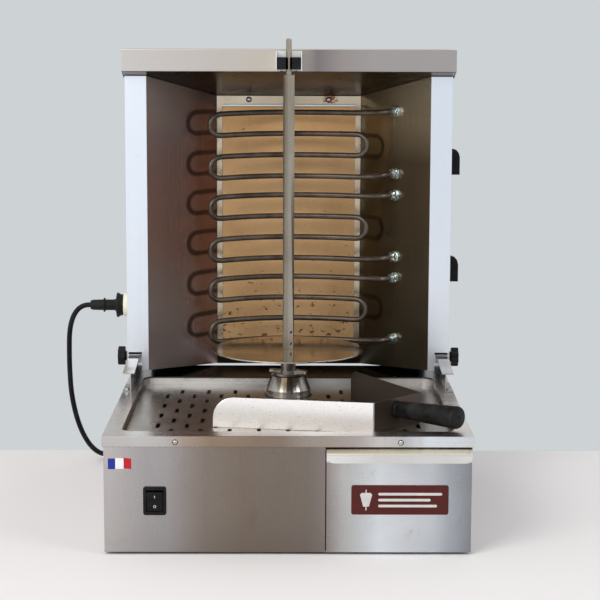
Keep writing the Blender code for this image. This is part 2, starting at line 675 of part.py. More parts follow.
def heating_elements():
    place_xy, out = terminal_spot()
    turn = Matrix.Rotation(math.atan2(out.y, out.x), 4, "Z")
    cutters = []
    for number, centre_z in enumerate(ELEMENT_CENTRES_Z, 1):
        tube(f"heating_element_{number}", element_route(centre_z), ELEMENT_RADIUS, ELEMENT)
        ends = (("upper", 1.5, 0.004), ("lower", -1.5, 0.008))
        for label, step, rise in ends:
            spot = Vector((*place_xy, centre_z + ELEMENT_PITCH * step + rise))
            ring = [(ELEMENT_RADIUS + GAP, -0.0075), (0.0075, -0.0075), (0.0085, -0.0065), (0.0085, -GAP), (ELEMENT_RADIUS + GAP, -GAP)]
            nut = turned(f"element_gland_{number}_{label}", ring, "X", (0, 0, 0), ZINC, 12)
            nut.data.transform(Matrix.Translation(spot) @ turn)
            hole = turned(f"element_hole_{number}_{label}", [(0, -0.01), (0.0048, -0.01), (0.0048, 0.01), (0, 0.01)], "X", (0, 0, 0), steps=12)
            hole.data.transform(Matrix.Translation(spot) @ turn)
            cutters.append(hole)
    return cutters


def spit_bearing():
    """A steel fork on the hood's lip with a black block, slotted open to the front, that the spit's pin stands in."""
    path = [(-0.0225, 0.064), (-0.0225, HOOD_FRONT_Y - GAP), (0.0225, HOOD_FRONT_Y - GAP), (0.0225, 0.064)]
    prism("bearing_bracket", folded(path, -SHEET), "Z", LIP_Z + 0.0015, HOOD_TOP_Z - 0.0025)
    slot_back = 0.103
    outline = [(-0.0205, 0.066), (-0.0055, 0.066)]
    outline += arc((0, slot_back), 0.0055, 180, 0, 6)
    outline += [(0.0055, 0.066), (0.0205, 0.066), (0.0205, 0.1128), (-0.0205, 0.1128)]
    prism("bearing_block", outline, "Z", LIP_Z + 0.004, LIP_Z + 0.025, BLACK)


def heat_regulators():
    for name, z in zip(("upper", "lower"), CONTROLS_Z):
        body = box(f"heat_regulator_{name}", (0.255, CONTROL_Y - 0.022, z - 0.025), (0.2882, CONTROL_Y + 0.022, z + 0.025), BLACK)
        shaft = turned(f"regulator_shaft_{name}", [(0, 0.28), (0.003, 0.28), (0.003, 0.302), (0, 0.302)], "X", (0, CONTROL_Y, z), steps=12)
        joined(body, shaft)
        skirt = turned(f"control_knob_{name}", [(0, 0.2906), (0.0255, 0.2906), (0.024, 0.297), (0, 0.297)], "X", (0, CONTROL_Y, z), BLACK, 32)
        # A grip bar across the skirt, its pointer end rounded down to the skirt.
        outline = [(0.295, z - 0.0235), (0.3125, z - 0.0235), (0.3125, z + 0.008), (0.3105, z + 0.016), (0.306, z + 0.0215)]
        outline += [(0.300, z + 0.0235), (0.295, z + 0.0235)]
        grip = prism(f"control_grip_{name}", outline, "Y", CONTROL_Y - 0.0055, CONTROL_Y + 0.0055, BLACK)
        bore = turned(f"control_bore_{name}", [(0, 0.28), (0.0034, 0.28), (0.0034, 0.3025), (0, 0.3025)], "X", (0, CONTROL_Y, z), steps=12)
        joined(skirt, grip)
        cut(skirt, bore)


def clamps():
    """On each side a star knob draws a hooked plate up against the underside of the rail's flange."""
    for name, side in (("left", -1), ("right", 1)):
        outer = (HALF_WIDTH + GAP) * side
        path = [(outer, CLAMP_Z + 0.016), (outer, DECK_Z + 0.020), (0.280 * side, DECK_Z + 0.020)]
        plate = prism(f"clamp_plate_{name}", folded(path, 0.002 * side), "Y", CLAMP_Y - 0.014, CLAMP_Y + 0.014)
        centre = (0, CLAMP_Y, CLAMP_Z + 0.004)
        hole = turned(f"clamp_plate_hole_{name}", [(0, 0.28), (0.0045, 0.28), (0.0045, 0.30), (0, 0.30)], "X", centre, steps=12)
        stud = [(0, 0.2888), (0.004, 0.2888), (0.004, 0.2926), (0.009, 0.2926), (0.009, 0.2950), (0.0165, 0.2955), (0.0175, 0.2975)]
        stud += [(0.0175, 0.3075), (0.0155, 0.3095), (0, 0.3095)]
        knob = turned(f"clamp_knob_{name}", stud, "X", centre, BLACK, 24)
        for piece in (hole, knob):
            if side < 0:
                piece.data.transform(Matrix.Diagonal((-1, 1, 1, 1)))
                piece.data.flip_normals()
        cut(plate, hole)


def inlet_and_plug():
    """A cream socket on the head's left side and the plug of the base's lead in it, both along X."""
    centre = (0, PLUG_Y, PLUG_Z)
    socket = [(0, -0.274), (0.0125, -0.274), (0.0125, -0.3045), (0.0205, -0.3045), (0.0215, -0.3030), (0.0215, -0.2903)]
    socket += [(0.0170, -0.2903), (0.0170, -0.266), (0, -0.266)]
    turned("inlet_socket", socket, "X", centre, CREAM, 28)
    nose, rim = -0.2765, -0.3050
    plug = [(0, nose), (0.0120, nose), (0.0120, rim), (0.0190, rim), (0.0200, -0.3100), (0.0230, -0.3150), (0.0225, -0.3170)]
    plug += [(0.0115, -0.3190), (0.0100, -0.3230), (0.0100, -0.3380), (0.0130, -0.3390), (0.0130, -0.3415), (0.0100, -0.3425)]
    plug += [(0.0095, -0.3610), (0.0080, -0.3660), (0, -0.3660)]
    turned("plug", plug, "X", centre, RUBBER, 24)


def cord():
    """The lead that feeds the gearmotor: from the plug down to the table, behind the base and into its gland."""
    start = (-0.3671, PLUG_Y, PLUG_Z)
    upper = [
        start, (-0.3770, PLUG_Y, 0.3110), (-0.3880, PLUG_Y, 0.3050), (-0.3970, PLUG_Y, 0.2930), (-0.4030, PLUG_Y, 0.2760),
        (-0.4060, PLUG_Y, 0.2550), (-0.4068, PLUG_Y, 0.2300), (-0.4068, PLUG_Y, 0.2050),
    ]
    lower = [
        (-0.4068, PLUG_Y, 0.2044), (-0.4062, 0.2395, 0.1800), (-0.4045, 0.2410, 0.1500), (-0.4005, 0.2450, 0.1200),
        (-0.3945, 0.2530, 0.0900), (-0.3860, 0.2660, 0.0610), (-0.3740, 0.2850, 0.0340), (-0.3590, 0.3080, 0.0150),
        (-0.3390, 0.3330, 0.0065), (-0.3150, 0.3550, 0.0050), (-0.2880, 0.3690, 0.0060), (-0.2620, 0.3730, 0.0120),
        (-0.2380, 0.3670, 0.0260), (-0.2190, 0.3540, 0.0430), (-0.2060, 0.3360, 0.0560), (GLAND_X, 0.3200, GLAND_Z),
        (GLAND_X, BASE_BACK_Y + 0.0268, GLAND_Z),
    ]
    tube("cord_upper", smooth_route(upper, 0.016), CORD_RADIUS, RUBBER)
    tube("cord_lower", smooth_route(lower, 0.016), CORD_RADIUS, RUBBER)
    gland = [
        (0, -0.008), (0.0098, -0.008), (0.0098, GAP), (0.0135, GAP), (0.0135, 0.006), (0.0090, 0.008), (0.0062, 0.026), (0, 0.026)
    ]
    turned("base_gland", gland, "Y", (GLAND_X, BASE_BACK_Y, GLAND_Z), BLACK, 20)


def head():
    head_sides()
    hood()
    sloping_ceiling()
    brick_frame()
    head_back()
    reflector("reflector_left", -1)
    cut(reflector("reflector_right", 1), *heating_elements())
    spit_bearing()
    heat_regulators()
    clamps()
    inlet_and_plug()


# Scoop

def scoop():
    """A tray with three walls, its fourth side a shallow curved mouth."""
    floor_z = DECK_Z - RECESS_DEPTH + 0.0002 + GAP
    top_z = floor_z + SCOOP_HEIGHT
    rim = lambda y: SCOOP_HEIGHT + SCOOP_RISE * (y - b.y)
    a, b, c, d = (Vector(corner) for corner in SCOOP_CORNERS)
    middle = (a + d) / 2
    inward = ((b + c) / 2 - middle).normalized()
    mouth = [d + (a - d) * t + inward * 0.022 * math.sin(math.pi * t) for t in (0.17, 0.33, 0.5, 0.67, 0.83)]
    pan = prism("scoop_pan", [tuple(p) for p in (a, b, c, d, *mouth)], "Z", floor_z, top_z)
    for vertex in pan.data.vertices:
        if vertex.co.z > floor_z + 0.01:
            vertex.co.z = floor_z + rim(vertex.co.y)
    inner = folded([a - (b - a) * 0.2, b, c, d + (d - c) * 0.2], THIN)[4:]
    beyond = [tuple(a - inward * 0.1), tuple(d - inward * 0.1)]
    cut(pan, prism("scoop_inside", inner + beyond, "Z", floor_z + THIN, top_z + 0.02))
    for label, start, end, radius in (("front", a, b, 0.034), ("rear", d, c, 0.016)):
        height = rim(start.y)
        corner = [(-0.02, height + 0.01), (-0.02, height - radius)]
        corner += arc((radius, height - radius), radius, 180, 90, 5) + [(radius, height + 0.01)]
        across = wall(f"scoop_corner_{label}", start, end, corner, floor_z, 0.02)
        along = (end - start).normalized()
        across.data.transform(Matrix.Translation((along.y * 0.01, -along.x * 0.01, 0)))
        cut(pan, across)
    # The handle stands square on the end wall and rises a little.
    out = Vector(((c - b).y, -(c - b).x)).normalized()
    foot = Vector((*((b + c) / 2 + out * GAP), DECK_Z + 0.016))
    axis = Vector((*out, 0.042)).normalized()
    profile = [(0, 0), (0.0125, 0), (0.0135, 0.0015), (0.0180, 0.121), (0.0180, 0.127), (0.0160, 0.130), (0, 0.130)]
    handle = turned("scoop_handle", profile, "Z", (0, 0, 0), RUBBER, 24)
    handle.data.transform(Matrix.Translation(foot) @ axis.to_track_quat("Z", "Y").to_matrix().to_4x4())
    trim = wall("scoop_handle_trim", b, c, [(-0.1, -0.1), (0.3, -0.1), (0.3, 0.1), (-0.1, 0.1)], foot.z, 0.05)
    trim.data.transform(Matrix.Translation((*(out * GAP), 0)))
    cut(handle, trim)


base_shell()
front_panel()
deck_lid()
perforated_tray()
drip_pan()
drawer_bay()
switch()
feet()
gearmotor()
hub_cone()
slide_rails()
drawer()
drive_coupling()
spit_bar()
meat_disc()
head()
cord()
scoop()
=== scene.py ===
"""Rotisserie oven: the visual model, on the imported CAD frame. Metres, +Z up, front towards -Y."""

import math

import bmesh
import bpy
from mathutils import Matrix, Vector

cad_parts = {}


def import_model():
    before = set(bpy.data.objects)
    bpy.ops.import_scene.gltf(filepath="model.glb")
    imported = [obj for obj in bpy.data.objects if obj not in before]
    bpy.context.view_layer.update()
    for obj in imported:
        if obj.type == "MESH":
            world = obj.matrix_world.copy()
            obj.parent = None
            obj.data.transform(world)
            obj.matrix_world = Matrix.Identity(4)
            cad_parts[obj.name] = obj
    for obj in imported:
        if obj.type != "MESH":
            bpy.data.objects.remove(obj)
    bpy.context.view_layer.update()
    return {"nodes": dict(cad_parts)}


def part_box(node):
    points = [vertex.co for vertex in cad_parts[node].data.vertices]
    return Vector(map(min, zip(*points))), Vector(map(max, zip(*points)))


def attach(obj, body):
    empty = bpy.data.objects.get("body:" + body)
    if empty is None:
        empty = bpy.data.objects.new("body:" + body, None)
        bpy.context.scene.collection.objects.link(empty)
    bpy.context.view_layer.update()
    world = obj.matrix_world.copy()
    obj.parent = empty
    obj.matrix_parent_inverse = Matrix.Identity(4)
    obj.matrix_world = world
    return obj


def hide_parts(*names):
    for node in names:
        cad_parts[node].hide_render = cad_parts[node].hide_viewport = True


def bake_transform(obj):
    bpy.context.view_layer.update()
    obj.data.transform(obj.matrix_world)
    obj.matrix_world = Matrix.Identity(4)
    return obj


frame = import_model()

NODES = frame["nodes"]


def middle(node):
    low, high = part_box(node)
    return (low + high) / 2


# Camera

CAMERA_AT = (0.0, -3.015, 0.8036)
CAMERA_LENS = 106.56
CAMERA_TURN = (0.147, 0.0066, 0.0033)  # pitch down, yaw and roll, in radians


def camera():
    data = bpy.data.cameras.new("camera")
    data.sensor_width = 36
    data.lens = CAMERA_LENS
    pitch, yaw, roll = CAMERA_TURN
    forward = Vector((math.sin(yaw) * math.cos(pitch), math.cos(yaw) * math.cos(pitch), -math.sin(pitch)))
    level = forward.cross(Vector((0, 0, 1))).normalized()
    upright = level.cross(forward)
    right = level * math.cos(roll) + upright * math.sin(roll)
    up = upright * math.cos(roll) - level * math.sin(roll)
    made = bpy.data.objects.new("camera", data)
    bpy.context.scene.collection.objects.link(made)
    turn = Matrix((right, up, -forward)).transposed().to_4x4()
    made.matrix_world = Matrix.Translation(CAMERA_AT) @ turn
    bpy.context.scene.camera = made


camera()


# Shader tools

def add(tree, kind, inputs=(), **settings):
    made = tree.nodes.new("ShaderNode" + kind)
    for key, value in settings.items():
        setattr(made, key, value)
    for key, value in dict(inputs).items():
        if isinstance(value, bpy.types.NodeSocket):
            tree.links.new(value, made.inputs[key])
        else:
            made.inputs[key].default_value = value
    return made


def coords(tree, scale=(1, 1, 1), offset=(0, 0, 0)):
    place = add(tree, "TexCoord").outputs["Object"]
    return add(tree, "Mapping", {"Vector": place, "Scale": scale, "Location": offset}).outputs["Vector"]


def noise(tree, vector, scale, detail=2.0, roughness=0.5, distortion=0.0):
    inputs = {"Vector": vector, "Scale": scale, "Detail": detail, "Roughness": roughness, "Distortion": distortion}
    return add(tree, "TexNoise", inputs).outputs["Fac"]


def spread(tree, value, low, high, to_low=0.0, to_high=1.0):
    inputs = {"Value": value, "From Min": low, "From Max": high, "To Min": to_low, "To Max": to_high}
    return add(tree, "MapRange", inputs).outputs["Result"]


def mix(tree, factor, first, second, how="MIX"):
    made = add(tree, "Mix", data_type="RGBA", blend_type=how)
    for index, value in ((0, factor), (6, first), (7, second)):
        if isinstance(value, bpy.types.NodeSocket):
            tree.links.new(value, made.inputs[index])
        else:
            made.inputs[index].default_value = value if index == 0 else (*value, 1.0)
    return made.outputs[2]


def height_of(tree, axis="Z"):
    return add(tree, "SeparateXYZ", {0: add(tree, "TexCoord").outputs["Object"]}).outputs["XYZ".index(axis)]


def ramp(tree, axis, stops):
    """A colour that changes along an axis. stops holds (metres, colour), in order."""
    low, high = stops[0][0], stops[-1][0]
    made = add(tree, "ValToRGB", {0: spread(tree, height_of(tree, axis), low, high)})
    elements = made.color_ramp.elements
    elements[0].color = (*stops[0][1], 1)
    elements[1].color = (*stops[-1][1], 1)
    for at, colour in stops[1:-1]:
        elements.new((at - low) / (high - low)).color = (*colour, 1)
    return made.outputs["Color"]


def total(tree, first, second, operation="ADD"):
    return add(tree, "Math", {0: first, 1: second}, operation=operation).outputs[0]


def new_material(name, **sockets):
    made = bpy.data.materials.new(name)
    made.use_nodes = True
    shader = made.node_tree.nodes["Principled BSDF"]
    for key, value in sockets.items():
        shader.inputs[key.replace("_", " ")].default_value = value
    return made, made.node_tree, shader


def link(tree, shader, **sockets):
    for key, value in sockets.items():
        tree.links.new(value, shader.inputs[key.replace("_", " ")])


def bump(tree, shader, height, strength, distance):
    made = add(tree, "Bump", {"Height": height, "Strength": strength, "Distance": distance})
    tree.links.new(made.outputs["Normal"], shader.inputs["Normal"])


GRAIN = {"X": (2.5, 900, 900), "Y": (900, 2.5, 900), "Z": (900, 900, 2.5)}


def steel(
    name, colour, other, roughness=0.3, vary=0.08, grain="X", scratch=0.10, patch=5.0, stain=None, stains=0.0,
    tint=None, metallic=1.0, wear=0.18, streak=0.14,
):
    """Brushed steel: fine lines along one axis, soft patches of tint, finger marks and, if asked, brown stains.

    tint, if given, makes the colour from the node tree that the tone is multiplied by: painted reflection and painted
    shade, and on the frame also rust.
    """
    made, tree, shader = new_material(name, Metallic=metallic)
    lines = noise(tree, coords(tree, GRAIN[grain]), 1.0, 3.0, 0.6)
    broad = noise(tree, coords(tree, (1, 1, 1), (3.1, 0.7, 1.9)), patch, 3.0, 0.55, 0.3)
    marks = noise(tree, coords(tree), 26.0, 5.0, 0.65, 0.6)
    tone = mix(tree, spread(tree, broad, 0.36, 0.66), colour, other)
    tone = mix(tree, spread(tree, lines, 0.35, 0.70, 0.0, streak), tone, [c * 0.70 for c in colour])
    tone = mix(tree, spread(tree, marks, 0.58, 0.78, 0.0, wear), tone, [c * 0.62 for c in other])
    if stain:
        blots = noise(tree, coords(tree, (1, 1, 1), (0.4, 5.0, 2.0)), 14.0, 6.0, 0.7, 1.2)
        tone = mix(tree, spread(tree, blots, 0.62 - stains, 0.80 - stains), tone, stain)
    if tint:
        tone = mix(tree, 1.0, tone, tint(tree), "MULTIPLY")
    rough = spread(tree, broad, 0.3, 0.7, roughness - vary, roughness + vary)
    rough = total(tree, rough, spread(tree, marks, 0.55, 0.75, 0.0, vary * 0.8))
    rough = total(tree, rough, spread(tree, lines, 0.3, 0.7, -0.03, 0.03))
    link(tree, shader, Base_Color=tone, Roughness=rough)
    bump(tree, shader, lines, scratch, 0.0002)
    return made


def turned_steel(name, colour, roughness, centre):
    """Steel turned on a lathe about the vertical axis: fine rings and faint wear."""
    made, tree, shader = new_material(name, Metallic=1.0)
    place = coords(tree, (1, 1, 1), (-centre[0], -centre[1], 0))
    parts = add(tree, "SeparateXYZ", {0: place})
    squares = total(tree, total(tree, parts.outputs[0], 2.0, "POWER"), total(tree, parts.outputs[1], 2.0, "POWER"))
    radius = total(tree, squares, 0.5, "POWER")
    along = add(tree, "CombineXYZ", {0: radius, 1: parts.outputs[2], 2: 0.0}).outputs[0]
    rings = noise(tree, along, 1300.0, 2.0, 0.6)
    wear = noise(tree, coords(tree), 17.0, 4.0, 0.6, 0.4)
    tone = mix(tree, spread(tree, wear, 0.4, 0.7), colour, [c * 0.72 for c in colour])
    tone = mix(tree, spread(tree, rings, 0.4, 0.7, 0.0, 0.12), tone, [c * 0.5 for c in colour])
    rough = spread(tree, wear, 0.35, 0.7, roughness - 0.04, roughness + 0.07)
    link(tree, shader, Base_Color=tone, Roughness=rough)
    bump(tree, shader, rings, 0.08, 0.0002)
    return made


def fire_brick(name):
    """Fired clay, tan, with soot along the lower courses, dark specks and small pits, and painted light that brightens
    the top courses.
    """
    made, tree, shader = new_material(name, Specular_IOR_Level=0.2)
    place = coords(tree)
    cloud = noise(tree, place, 9.0, 5.0, 0.6, 0.4)
    fine = noise(tree, place, 260.0, 4.0, 0.7)
    tone = mix(tree, spread(tree, cloud, 0.34, 0.66), (0.53, 0.325, 0.155), (0.43, 0.255, 0.115))
    tone = mix(tree, spread(tree, fine, 0.35, 0.7, 0.0, 0.25), tone, (0.62, 0.44, 0.26))
    low = spread(tree, height_of(tree), 0.22, 0.44, 1.0, 0.0)
    specks = noise(tree, coords(tree, (0.8, 1, 1.3)), 95.0, 3.0, 0.6, 0.3)
    specks = total(tree, specks, spread(tree, low, 0.0, 1.0, 0.0, 0.135))
    tone = mix(tree, spread(tree, specks, 0.700, 0.735, 0.0, 0.85), tone, (0.07, 0.04, 0.025))
    streaks = noise(tree, coords(tree, (0.35, 1, 3.0), (7, 0, 3)), 40.0, 4.0, 0.65, 0.5)
    streaks = total(tree, streaks, spread(tree, low, 0.0, 1.0, 0.0, 0.05))
    tone = mix(tree, spread(tree, streaks, 0.68, 0.78, 0.0, 0.7), tone, (0.19, 0.10, 0.05))
    # Painted light: the top courses are painted brighter, to undo the ceiling's shade on them.
    tone = mix(
        tree, 1.0, tone, ramp(tree, "Z", [(0.24, PLAIN), (0.58, PLAIN), (0.68, (1.85, 1.78, 1.65))]), "MULTIPLY"
    )
    link(tree, shader, Base_Color=tone, Roughness=spread(tree, fine, 0.3, 0.7, 0.78, 0.98))
    bump(tree, shader, total(tree, fine, total(tree, cloud, 0.6, "MULTIPLY")), 0.5, 0.0008)
    return made


def sheath(name):
    """The elements' metal sheath, oxidised brown-black with a dull sheen."""
    made, tree, shader = new_material(name, Metallic=0.75)
    cloud = noise(tree, coords(tree), 24.0, 5.0, 0.65, 0.5)
    fine = noise(tree, coords(tree), 420.0, 3.0, 0.6)
    tone = mix(tree, spread(tree, cloud, 0.35, 0.68), (0.060, 0.047, 0.038), (0.135, 0.108, 0.086))
    tone = mix(tree, spread(tree, fine, 0.45, 0.75, 0.0, 0.5), tone, (0.03, 0.024, 0.02))
    link(tree, shader, Base_Color=tone, Roughness=spread(tree, cloud, 0.3, 0.7, 0.30, 0.50))
    bump(tree, shader, fine, 0.25, 0.0003)
    return made


def moulded(name, colour, roughness, grain, depth, dust=0.06):
    """Moulded plastic or rubber with a fine spark-eroded texture and a little dust."""
    made, tree, shader = new_material(name, Specular_IOR_Level=0.12)
    fine = noise(tree, coords(tree), grain, 3.0, 0.6)
    cloud = noise(tree, coords(tree), 30.0, 5.0, 0.6, 0.5)
    pale = [c + (0.35 - c) * dust for c in colour]
    tone = mix(tree, spread(tree, cloud, 0.42, 0.72), colour, pale)
    tone = mix(tree, spread(tree, fine, 0.4, 0.7, 0.0, 0.3), tone, [c * 0.75 for c in colour])
    link(tree, shader, Base_Color=tone, Roughness=spread(tree, cloud, 0.35, 0.7, roughness - 0.05, roughness + 0.1))
    bump(tree, shader, fine, depth, 0.0003)
    return made


def enamel(name, colour, roughness):
    """Screen-printed or painted surface, almost even."""
    made, tree, shader = new_material(name, Specular_IOR_Level=0.3)
    cloud = noise(tree, coords(tree), 60.0, 4.0, 0.6)
    fine = noise(tree, coords(tree), 900.0, 2.0, 0.5)
    tone = mix(tree, spread(tree, cloud, 0.35, 0.7), colour, [c * 0.86 for c in colour])
    link(tree, shader, Base_Color=tone, Roughness=spread(tree, cloud, 0.3, 0.7, roughness - 0.05, roughness + 0.06))
    bump(tree, shader, fine, 0.05, 0.0001)
    return made


PLAIN = (1.0, 1.0, 1.0)  # a tint that changes nothing
SPIT_AXIS = (0, 0.082)
BROWN = (0.30, 0.21, 0.14)
PALE_BROWN = (0.78, 0.62, 0.48)


# The tints are painted reflection and painted shade: they stand for what each steel face mirrors and for the shade on
# it, as colour of the surface. The frame's rust is its own colour.

def panel_painted_reflection(tree):
    # Painted reflection and shade across the front panel, bluish grey at the left and brown towards the middle.
    return ramp(tree, "X", [
        (-0.280, (0.49, 0.47, 0.47)), (-0.250, (0.42, 0.40, 0.40)), (-0.220, (0.36, 0.35, 0.355)),
        (-0.190, (0.35, 0.34, 0.345)), (-0.160, (0.29, 0.26, 0.245)), (-0.130, (0.24, 0.205, 0.18)),
        (-0.070, (0.20, 0.165, 0.135)), (-0.010, (0.195, 0.165, 0.14)), (0.030, (0.20, 0.172, 0.150)),
        (0.057, (0.245, 0.21, 0.20)),
    ])


def drawer_painted_light(tree):
    # Painted reflection across the drawer front.
    front = ramp(tree, "X", [
        (0.060, (0.27, 0.235, 0.225)), (0.085, (0.44, 0.435, 0.435)), (0.115, (0.54, 0.565, 0.58)),
        (0.142, (0.67, 0.715, 0.755)), (0.170, (0.63, 0.665, 0.70)), (0.197, (0.57, 0.60, 0.635)),
        (0.225, (0.51, 0.545, 0.58)), (0.252, (0.365, 0.395, 0.43)), (0.285, (0.24, 0.25, 0.275)),
    ])
    z = height_of(tree)
    # Painted highlight: the lip's top face is painted pale cream.
    lip = mix(tree, spread(tree, z, 0.1620, 0.1640), (0.68, 0.68, 0.67), (0.845, 0.79, 0.65))
    return mix(tree, spread(tree, z, 0.1470, 0.1510), front, lip)


def lid_painted_light(tree):
    # Painted reflection along the skirt, and painted reflection and shade on the recess walls.
    skirt = ramp(tree, "X", [
        (-0.290, (0.50, 0.48, 0.465)), (-0.235, (0.53, 0.53, 0.525)), (-0.195, (0.50, 0.485, 0.47)),
        (-0.160, (0.39, 0.32, 0.265)), (-0.120, (0.31, 0.23, 0.165)), (-0.050, (0.275, 0.215, 0.165)),
        (-0.010, (0.275, 0.22, 0.18)), (0.025, (0.34, 0.30, 0.265)), (0.065, (0.38, 0.34, 0.295)),
        (0.105, (0.46, 0.41, 0.40)), (0.142, (0.60, 0.59, 0.585)), (0.180, (0.52, 0.52, 0.525)),
        (0.218, (0.73, 0.79, 0.84)), (0.290, (0.68, 0.72, 0.75)),
    ])
    y, z = height_of(tree, "Y"), height_of(tree)
    walls = mix(tree, spread(tree, y, 0.150, 0.153), (0.42, 0.36, 0.30), (0.95, 0.97, 1.0))
    # Painted shade: under the head the deck is painted dark.
    deck = ramp(
        tree, "Y",
        [
            (-0.316, (0.62, 0.585, 0.55)), (0.040, (0.62, 0.585, 0.55)), (0.110, (0.34, 0.31, 0.28)),
            (0.160, (0.12, 0.10, 0.085)), (0.172, (0.045, 0.04, 0.035)),
        ],
    )
    top = mix(tree, spread(tree, z, 0.1865, 0.1885), walls, deck)
    return mix(tree, spread(tree, y, -0.3150, -0.3135), skirt, top)


def hood_painted_reflection(tree):
    # Painted reflection across the hood's front; the top takes one plain tone.
    front = ramp(tree, "X", [
        (-0.280, (0.60, 0.555, 0.52)), (-0.120, (0.58, 0.53, 0.475)), (-0.030, (0.60, 0.54, 0.45)),
        (0.015, (0.48, 0.43, 0.37)), (0.050, (0.25, 0.215, 0.21)), (0.095, (0.37, 0.33, 0.31)),
        (0.150, (0.42, 0.385, 0.36)), (0.280, (0.44, 0.41, 0.39)),
    ])
    return mix(tree, spread(tree, height_of(tree, "Y"), 0.1160, 0.1175), front, (0.52, 0.49, 0.46))


LEFT_MARKS = (0.6478, 0.5731, 0.5010, 0.4267, 0.3511, 0.2727)
RIGHT_MARKS = (0.6047, 0.4541, 0.3050)


def bend_images(tree, tone, centres, turn, stretch):
    """Dark U shapes on a reflector, open towards the brick. They stand for the mirror images of the elements' bends."""
    z = height_of(tree)
    away = None
    for centre in centres:
        gap = add(tree, "Math", {0: total(tree, z, centre, "SUBTRACT")}, operation="ABSOLUTE").outputs[0]
        away = gap if away is None else total(tree, away, gap, "MINIMUM")
    out = total(tree, total(tree, height_of(tree, "X"), turn, "SUBTRACT"), stretch, "MULTIPLY")
    out = total(tree, out, 0.0, "MAXIMUM")
    far = total(tree, total(tree, total(tree, out, 2.0, "POWER"), total(tree, away, 2.0, "POWER")), 0.5, "POWER")
    far = add(tree, "Math", {0: total(tree, far, 0.0193, "SUBTRACT")}, operation="ABSOLUTE").outputs[0]
    far = total(tree, far, spread(tree, noise(tree, coords(tree), 35.0, 2.0), 0.3, 0.7, -0.0007, 0.0007))
    return mix(tree, spread(tree, far, 0.0026, 0.0062, 0.80, 0.0), tone, (0.10, 0.085, 0.08))


def right_painted_light(tree):
    # Painted light: the reflector is painted much brighter towards the top, and darker towards the brick.
    up = ramp(
        tree, "Z",
        [(0.240, (0.90, 0.88, 0.84)), (0.580, (1.15, 1.1, 1.0)), (0.650, (3.3, 3.3, 3.2)), (0.730, (4.1, 4.1, 4.1))],
    )
    across = ramp(
        tree, "X", [(0.130, (0.48, 0.47, 0.44)), (0.165, (0.52, 0.51, 0.48)), (0.205, PLAIN), (0.252, PLAIN)]
    )
    return bend_images(tree, mix(tree, 1.0, up, across, "MULTIPLY"), RIGHT_MARKS, 0.1600, 1.55)


def left_painted_light(tree):
    # Painted light: the reflector is painted brighter towards the bottom, and darker brown towards the brick.
    up = ramp(
        tree, "Z",
        [
            (0.210, (1.9, 1.95, 1.95)), (0.330, (1.7, 1.65, 1.6)), (0.420, (1.45, 1.15, 1.02)),
            (0.560, (1.35, 1.05, 0.98)), (0.620, (1.2, 1.12, 1.15)), (0.730, (1.1, 1.1, 1.18)),
        ],
    )
    across = ramp(
        tree, "X",
        [(-0.252, PLAIN), (-0.190, (1.0, 0.98, 0.97)), (-0.160, (0.66, 0.54, 0.50)), (-0.130, (0.62, 0.52, 0.48))],
    )
    return bend_images(tree, mix(tree, 1.0, up, across, "MULTIPLY"), LEFT_MARKS, -0.1680, -1.25)


def bar_painted_light(tree):
    """Painted light and shade: the spit bar's left half is painted dark, the right half bright."""
    return ramp(tree, "X", [(-0.0016, (0.66, 0.61, 0.52)), (0.0016, (1.05, 0.98, 0.90))])


def scoop_painted_shade(tree):
    """Painted shade: the front wall stays bright, and the rest is painted dark."""
    place = add(tree, "TexCoord").outputs["Object"]
    inward = add(tree, "VectorMath", {0: place, 1: (0.1641, 0.9864, 0.0)}, operation="DOT_PRODUCT").outputs["Value"]
    return mix(tree, spread(tree, inward, -0.1998, -0.1985), PLAIN, (0.070, 0.052, 0.040))


def frame_rust_and_painted_shade(tree):
    """Rust round the right screw of the top strip, and run down from it. The bottom strip is painted dark, as painted
    shade.
    """
    place = coords(tree, (1, 0, 1.5), (-0.0760, 0, -1.0343))
    far = add(tree, "VectorMath", {0: place}, operation="LENGTH").outputs["Value"]
    rough = noise(tree, coords(tree), 190.0, 5.0, 0.7, 1.0)
    far = total(tree, far, spread(tree, rough, 0.3, 0.7, -0.010, 0.010))
    painted_shade_base = mix(tree, spread(tree, height_of(tree), 0.226, 0.236), (0.05, 0.04, 0.032), PLAIN)
    return mix(tree, spread(tree, far, 0.008, 0.015), (0.42, 0.20, 0.09), painted_shade_base)


def back_painted_shade(tree):
    """Painted shade: dark on the face that looks under the head."""
    low = spread(tree, height_of(tree), 0.236, 0.240)
    under = mix(tree, low, (0.035, 0.032, 0.03), PLAIN)
    return mix(tree, spread(tree, height_of(tree, "Y"), 0.3292, 0.3296), under, PLAIN)


